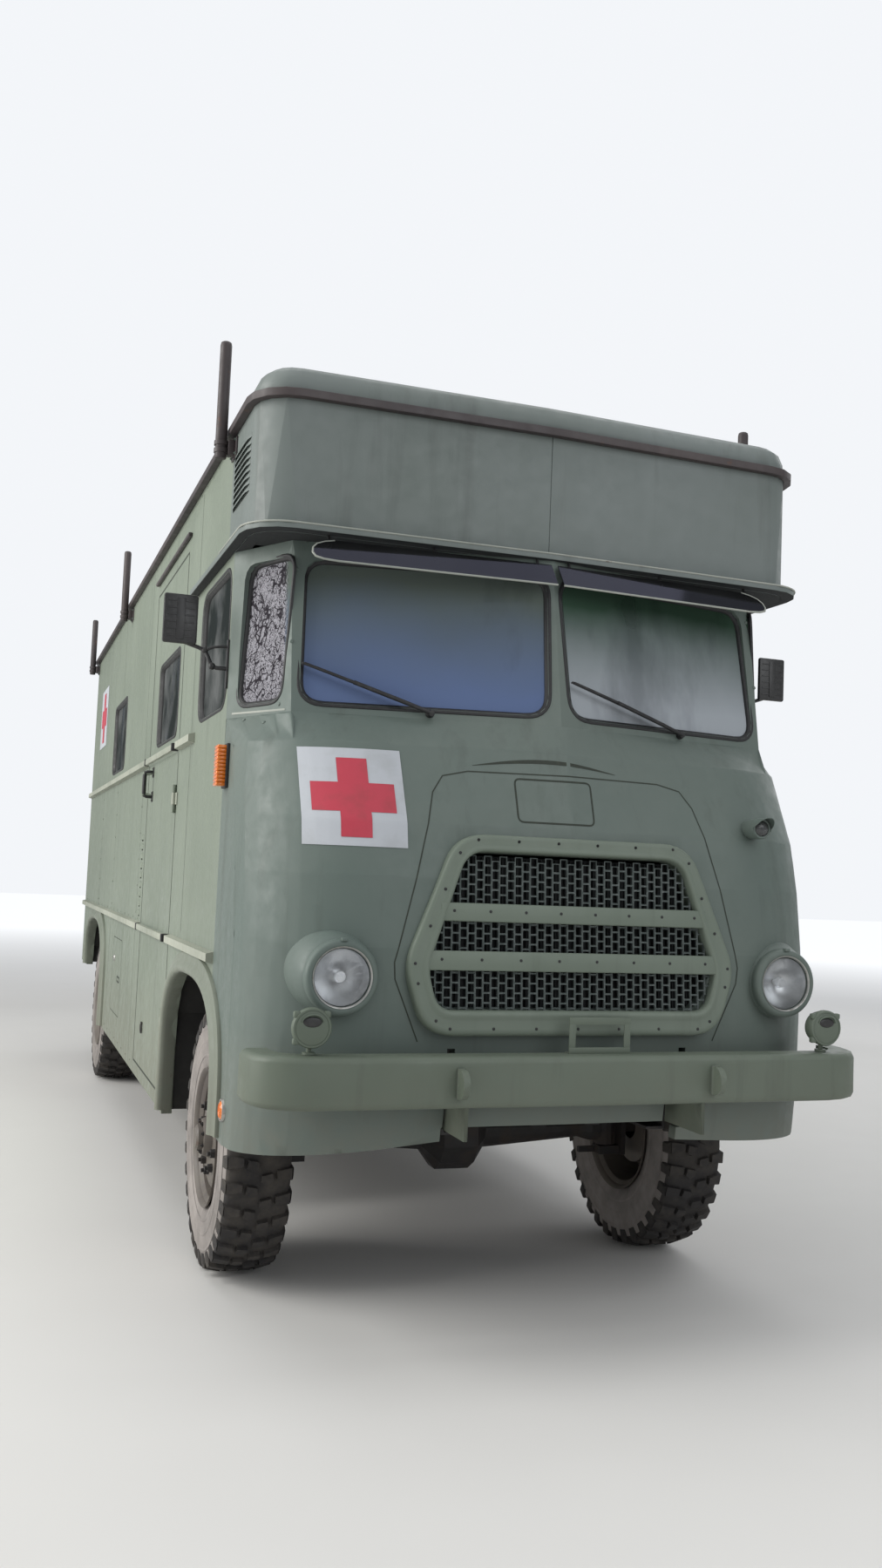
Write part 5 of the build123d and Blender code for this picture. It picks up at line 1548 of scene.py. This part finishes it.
def make_side_marks():
    for side, s in SIDES.items():
        def spot(u, v, lift=0.0):
            return on_side(s, u, v, lift)

        out = Vector((s, 0, 0))
        bm = bmesh.new()
        for y, z0, z1 in ((3.70, 0.52, 3.50), (5.30, 0.52, 2.36), (5.30, 2.92, 3.50), (6.45, 1.37, 3.50),
                          (1.80, 1.40, 2.28), (1.80, 2.34, 3.50)):
            laid_line(bm, spot, [(y, z0), (y, z1)], 0.004, 0.0008, 0.5)
        laid_line(bm, spot, round_box(4.40, 4.98, 0.70, 1.20, 0.03), 0.005, 0.0008, 0.2)
        laid_line(bm, spot, round_box(4.47, 4.63, 0.92, 0.95, 0.012), 0.012, 0.0009, 0.1)
        low, high = (f(v.co.z for v in frame["nodes"]["entry_door_" + side].data.vertices)
                     for f in (min, max))
        for y in (ENTRY[0] - 0.005, ENTRY[1] + 0.005):
            laid_line(bm, spot, [(y, low), (y, high)], 0.011, 0.0009, 0.5)
        laid_line(bm, spot, [(ENTRY[0], low - 0.005), (ENTRY[1], low - 0.005)], 0.010, 0.0009, 0.5)
        laid_line(bm, spot, [(ENTRY[0], high + 0.005), (ENTRY[1], high + 0.005)], 0.010, 0.0009, 0.5)
        add_piece("wall_joints_" + side, facing(bm, out), "seam", "truck", 60)
        places = []
        for y in (3.70, 5.30, 6.45):
            places += [spot(y + dy, 1.42 + 0.16 * k) for k in range(6) for dy in (-0.02, 0.02)]
        places += [spot(3.6 + 0.2 * k, 3.505) for k in range(21)]
        places += [spot(y, z) for y in (3.6 + 0.25 * k for k in range(17)) for z in (1.385, 0.545)
                   if not 5.5 < y < 7.35 or z > 1.3]
        places += [spot(0.90 + 0.16 * k, 3.505) for k in range(8)]
        small_parts("wall_rivets_" + side, places, 0.0055, "side")
        bm = bmesh.new()
        turned(bm, [(0.0, 0.022), (0.006, 0.021), (0.009, 0.016), (0.010, 0.0)],
               at(s * HALF, 4.84, 1.06), out, 24)
        box_of(bm, at(s * (HALF + 0.013), 4.84, 1.06), (0.010, 0.034, 0.008), 0.002)
        add_piece("hatch_latch_" + side, bm, "steel", "truck", 50)


def make_bracket():
    """Bare number-plate bracket on the bumper."""
    x0, x1, z0, z1, y = -0.065, 0.181, 1.0905, 1.222, -0.084
    x, z, wide = (x0 + x1) / 2, (z0 + z1) / 2, x1 - x0
    rows = [(at(upright, y, z), (0.026, 0.005, z1 - z0), 0.0015) for upright in (x0 + 0.013, x1 - 0.013)]
    rows += [(at(x, y, z0 + 0.012), (wide, 0.0055, 0.024), 0.0015),
             (at(x, y, z1 - 0.013), (wide, 0.0055, 0.026), 0.0015),
             (at(x, y + 0.016, z0 + 0.003), (wide, 0.034, 0.005), 0.0015)]
    boxes("plate_bracket", rows, "bumper")


def make_edges():
    """Worn edge of the ledge over the screen."""
    half, r = HALF + 0.042, 0.190
    angles = [math.pi / 2 * k / 8 for k in range(9)]
    left = [(half - r + r * math.sin(a), 0.362 + r - r * math.cos(a)) for a in angles] + [(half, 1.0)]
    line = [(-x, y) for x, y in left[::-1]] + [(0.0, 0.335)] + left
    bm = bmesh.new()
    bar(bm, [at(x, y, HEAD + 0.0245) for x, y in line], 0.0038, 8)
    add_piece("ledge_bead", outward(bm), "edge", "truck", 50)


set_camera()
make_crosses()
make_seals()
make_wheels()
make_grille()
make_lamps()
make_arches()
make_door_trim()
make_louvres()
make_visors()
make_mirrors()
make_wipers()
make_posts()
make_cab_inside()
make_front_marks()
make_side_marks()
make_edges()
make_bracket()
# The undersides of the box and of its ledge get painted shade
pressed_panel("roof_box", "box", 30, under=3.02)
over_ledge = 3.2
pressed_panel("gutter", "gutter", 30, 0.006, only=lambda part: part[0].co.z > over_ledge)
pressed_panel("gutter", "box", 30, 0.006, only=lambda part: part[0].co.z < over_ledge, label="_ledge",
              under=3.01)

for node, finish, angle, edge in (
        ("screen_frame", "paint", 30, 0), ("roof", "box", 44, 0), ("bumper", "bumper", 32, 0),
        ("side_wall_right", "side", 30, 0), ("side_wall_left", "side", 30, 0), ("rear_wall", "side", 30, 0),
        ("entry_door_right", "side", 30, 0), ("entry_door_left", "side", 30, 0),
        ("rear_door_right", "side", 30, 0), ("rear_door_left", "side", 30, 0)):
    panel = pressed_panel(node, finish, angle, edge)
    if node.startswith("entry_door"):
        slim_rails(panel, 0.6)
for node, finish in (("floor", "dark"), ("wheel_houses", "dark"), ("chassis_frame", "iron"),
                     ("axles", "iron"), ("leaf_springs", "iron"), ("engine", "iron"),
                     ("knuckle_right", "iron"), ("knuckle_left", "iron"), ("dashboard", "dark")):
    coat(node, finish)

for part in TEMPLATES:
    bpy.data.objects.remove(part)


# Floor, backdrop and light
PALE_SKY = (0.9, 0.92, 0.95)


def make_stage():
    scene = bpy.context.scene
    bm = bmesh.new()
    bmesh.ops.create_grid(bm, x_segments=1, y_segments=1, size=60)
    ground = placed_object("ground", mesh_of("floor_plane", bm))
    p = Paint("pale_floor")
    p.colour(p.mix(p.noise(0.6, 3), (0.62, 0.61, 0.59), (0.66, 0.65, 0.63))).rough(p.noise(3, 2), 0.8, 0.95)
    far = p.node("ShaderNodeVectorMath", {0: p.place}, operation="LENGTH").outputs["Value"]
    p.feed("Emission Strength", p.ramp(far, 8.0, 26.0, 0.0, 0.8)).tuned({"Emission Color": (*PALE_SKY, 1)})
    ground.data.materials.append(p.material)
    ground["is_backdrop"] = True
    for name, place, size, power, tint in (
            ("sky_right", (-11, -1, 6), 9, 1550, (1.0, 0.99, 0.96)),
            ("sky_front", (3, -13, 7), 8, 380, (0.96, 0.98, 1.0)),
            ("sky_top", (0, -1, 11), 11, 520, (1.0, 1.0, 1.0)),
            ("sky_left", (9, 3, 7), 8, 300, (0.98, 0.99, 1.0))):
        lamp = bpy.data.lights.new(name, "AREA")
        lamp.size, lamp.energy, lamp.color = size, power, tint
        holder = placed_object(name, lamp)
        holder.location = place
        holder.rotation_euler = (Vector((0, 0, 1.6)) - Vector(place)).to_track_quat("-Z", "Y").to_euler()
    scene.world = bpy.data.worlds.new("studio")
    scene.world.use_nodes = True
    w = Nodes(scene.world.node_tree)
    dim = w.node("ShaderNodeBackground", {0: (0.86, 0.89, 0.93, 1), 1: 0.45})
    seen = w.node("ShaderNodeBackground", {0: (*PALE_SKY, 1), 1: 1.0})
    ray = w.node("ShaderNodeLightPath").outputs["Is Camera Ray"]
    sky = w.node("ShaderNodeMixShader", {0: ray, 1: dim.outputs[0], 2: seen.outputs[0]})
    w.tree.links.new(sky.outputs[0], w.tree.nodes["World Output"].inputs["Surface"])
    scene.view_settings.view_transform = "Standard"


make_stage()


def corners(pair):
    return [[round(v, 5) for v in corner] for corner in pair]


{"cad": corners(CAD_BOX), "visual": corners(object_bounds())}
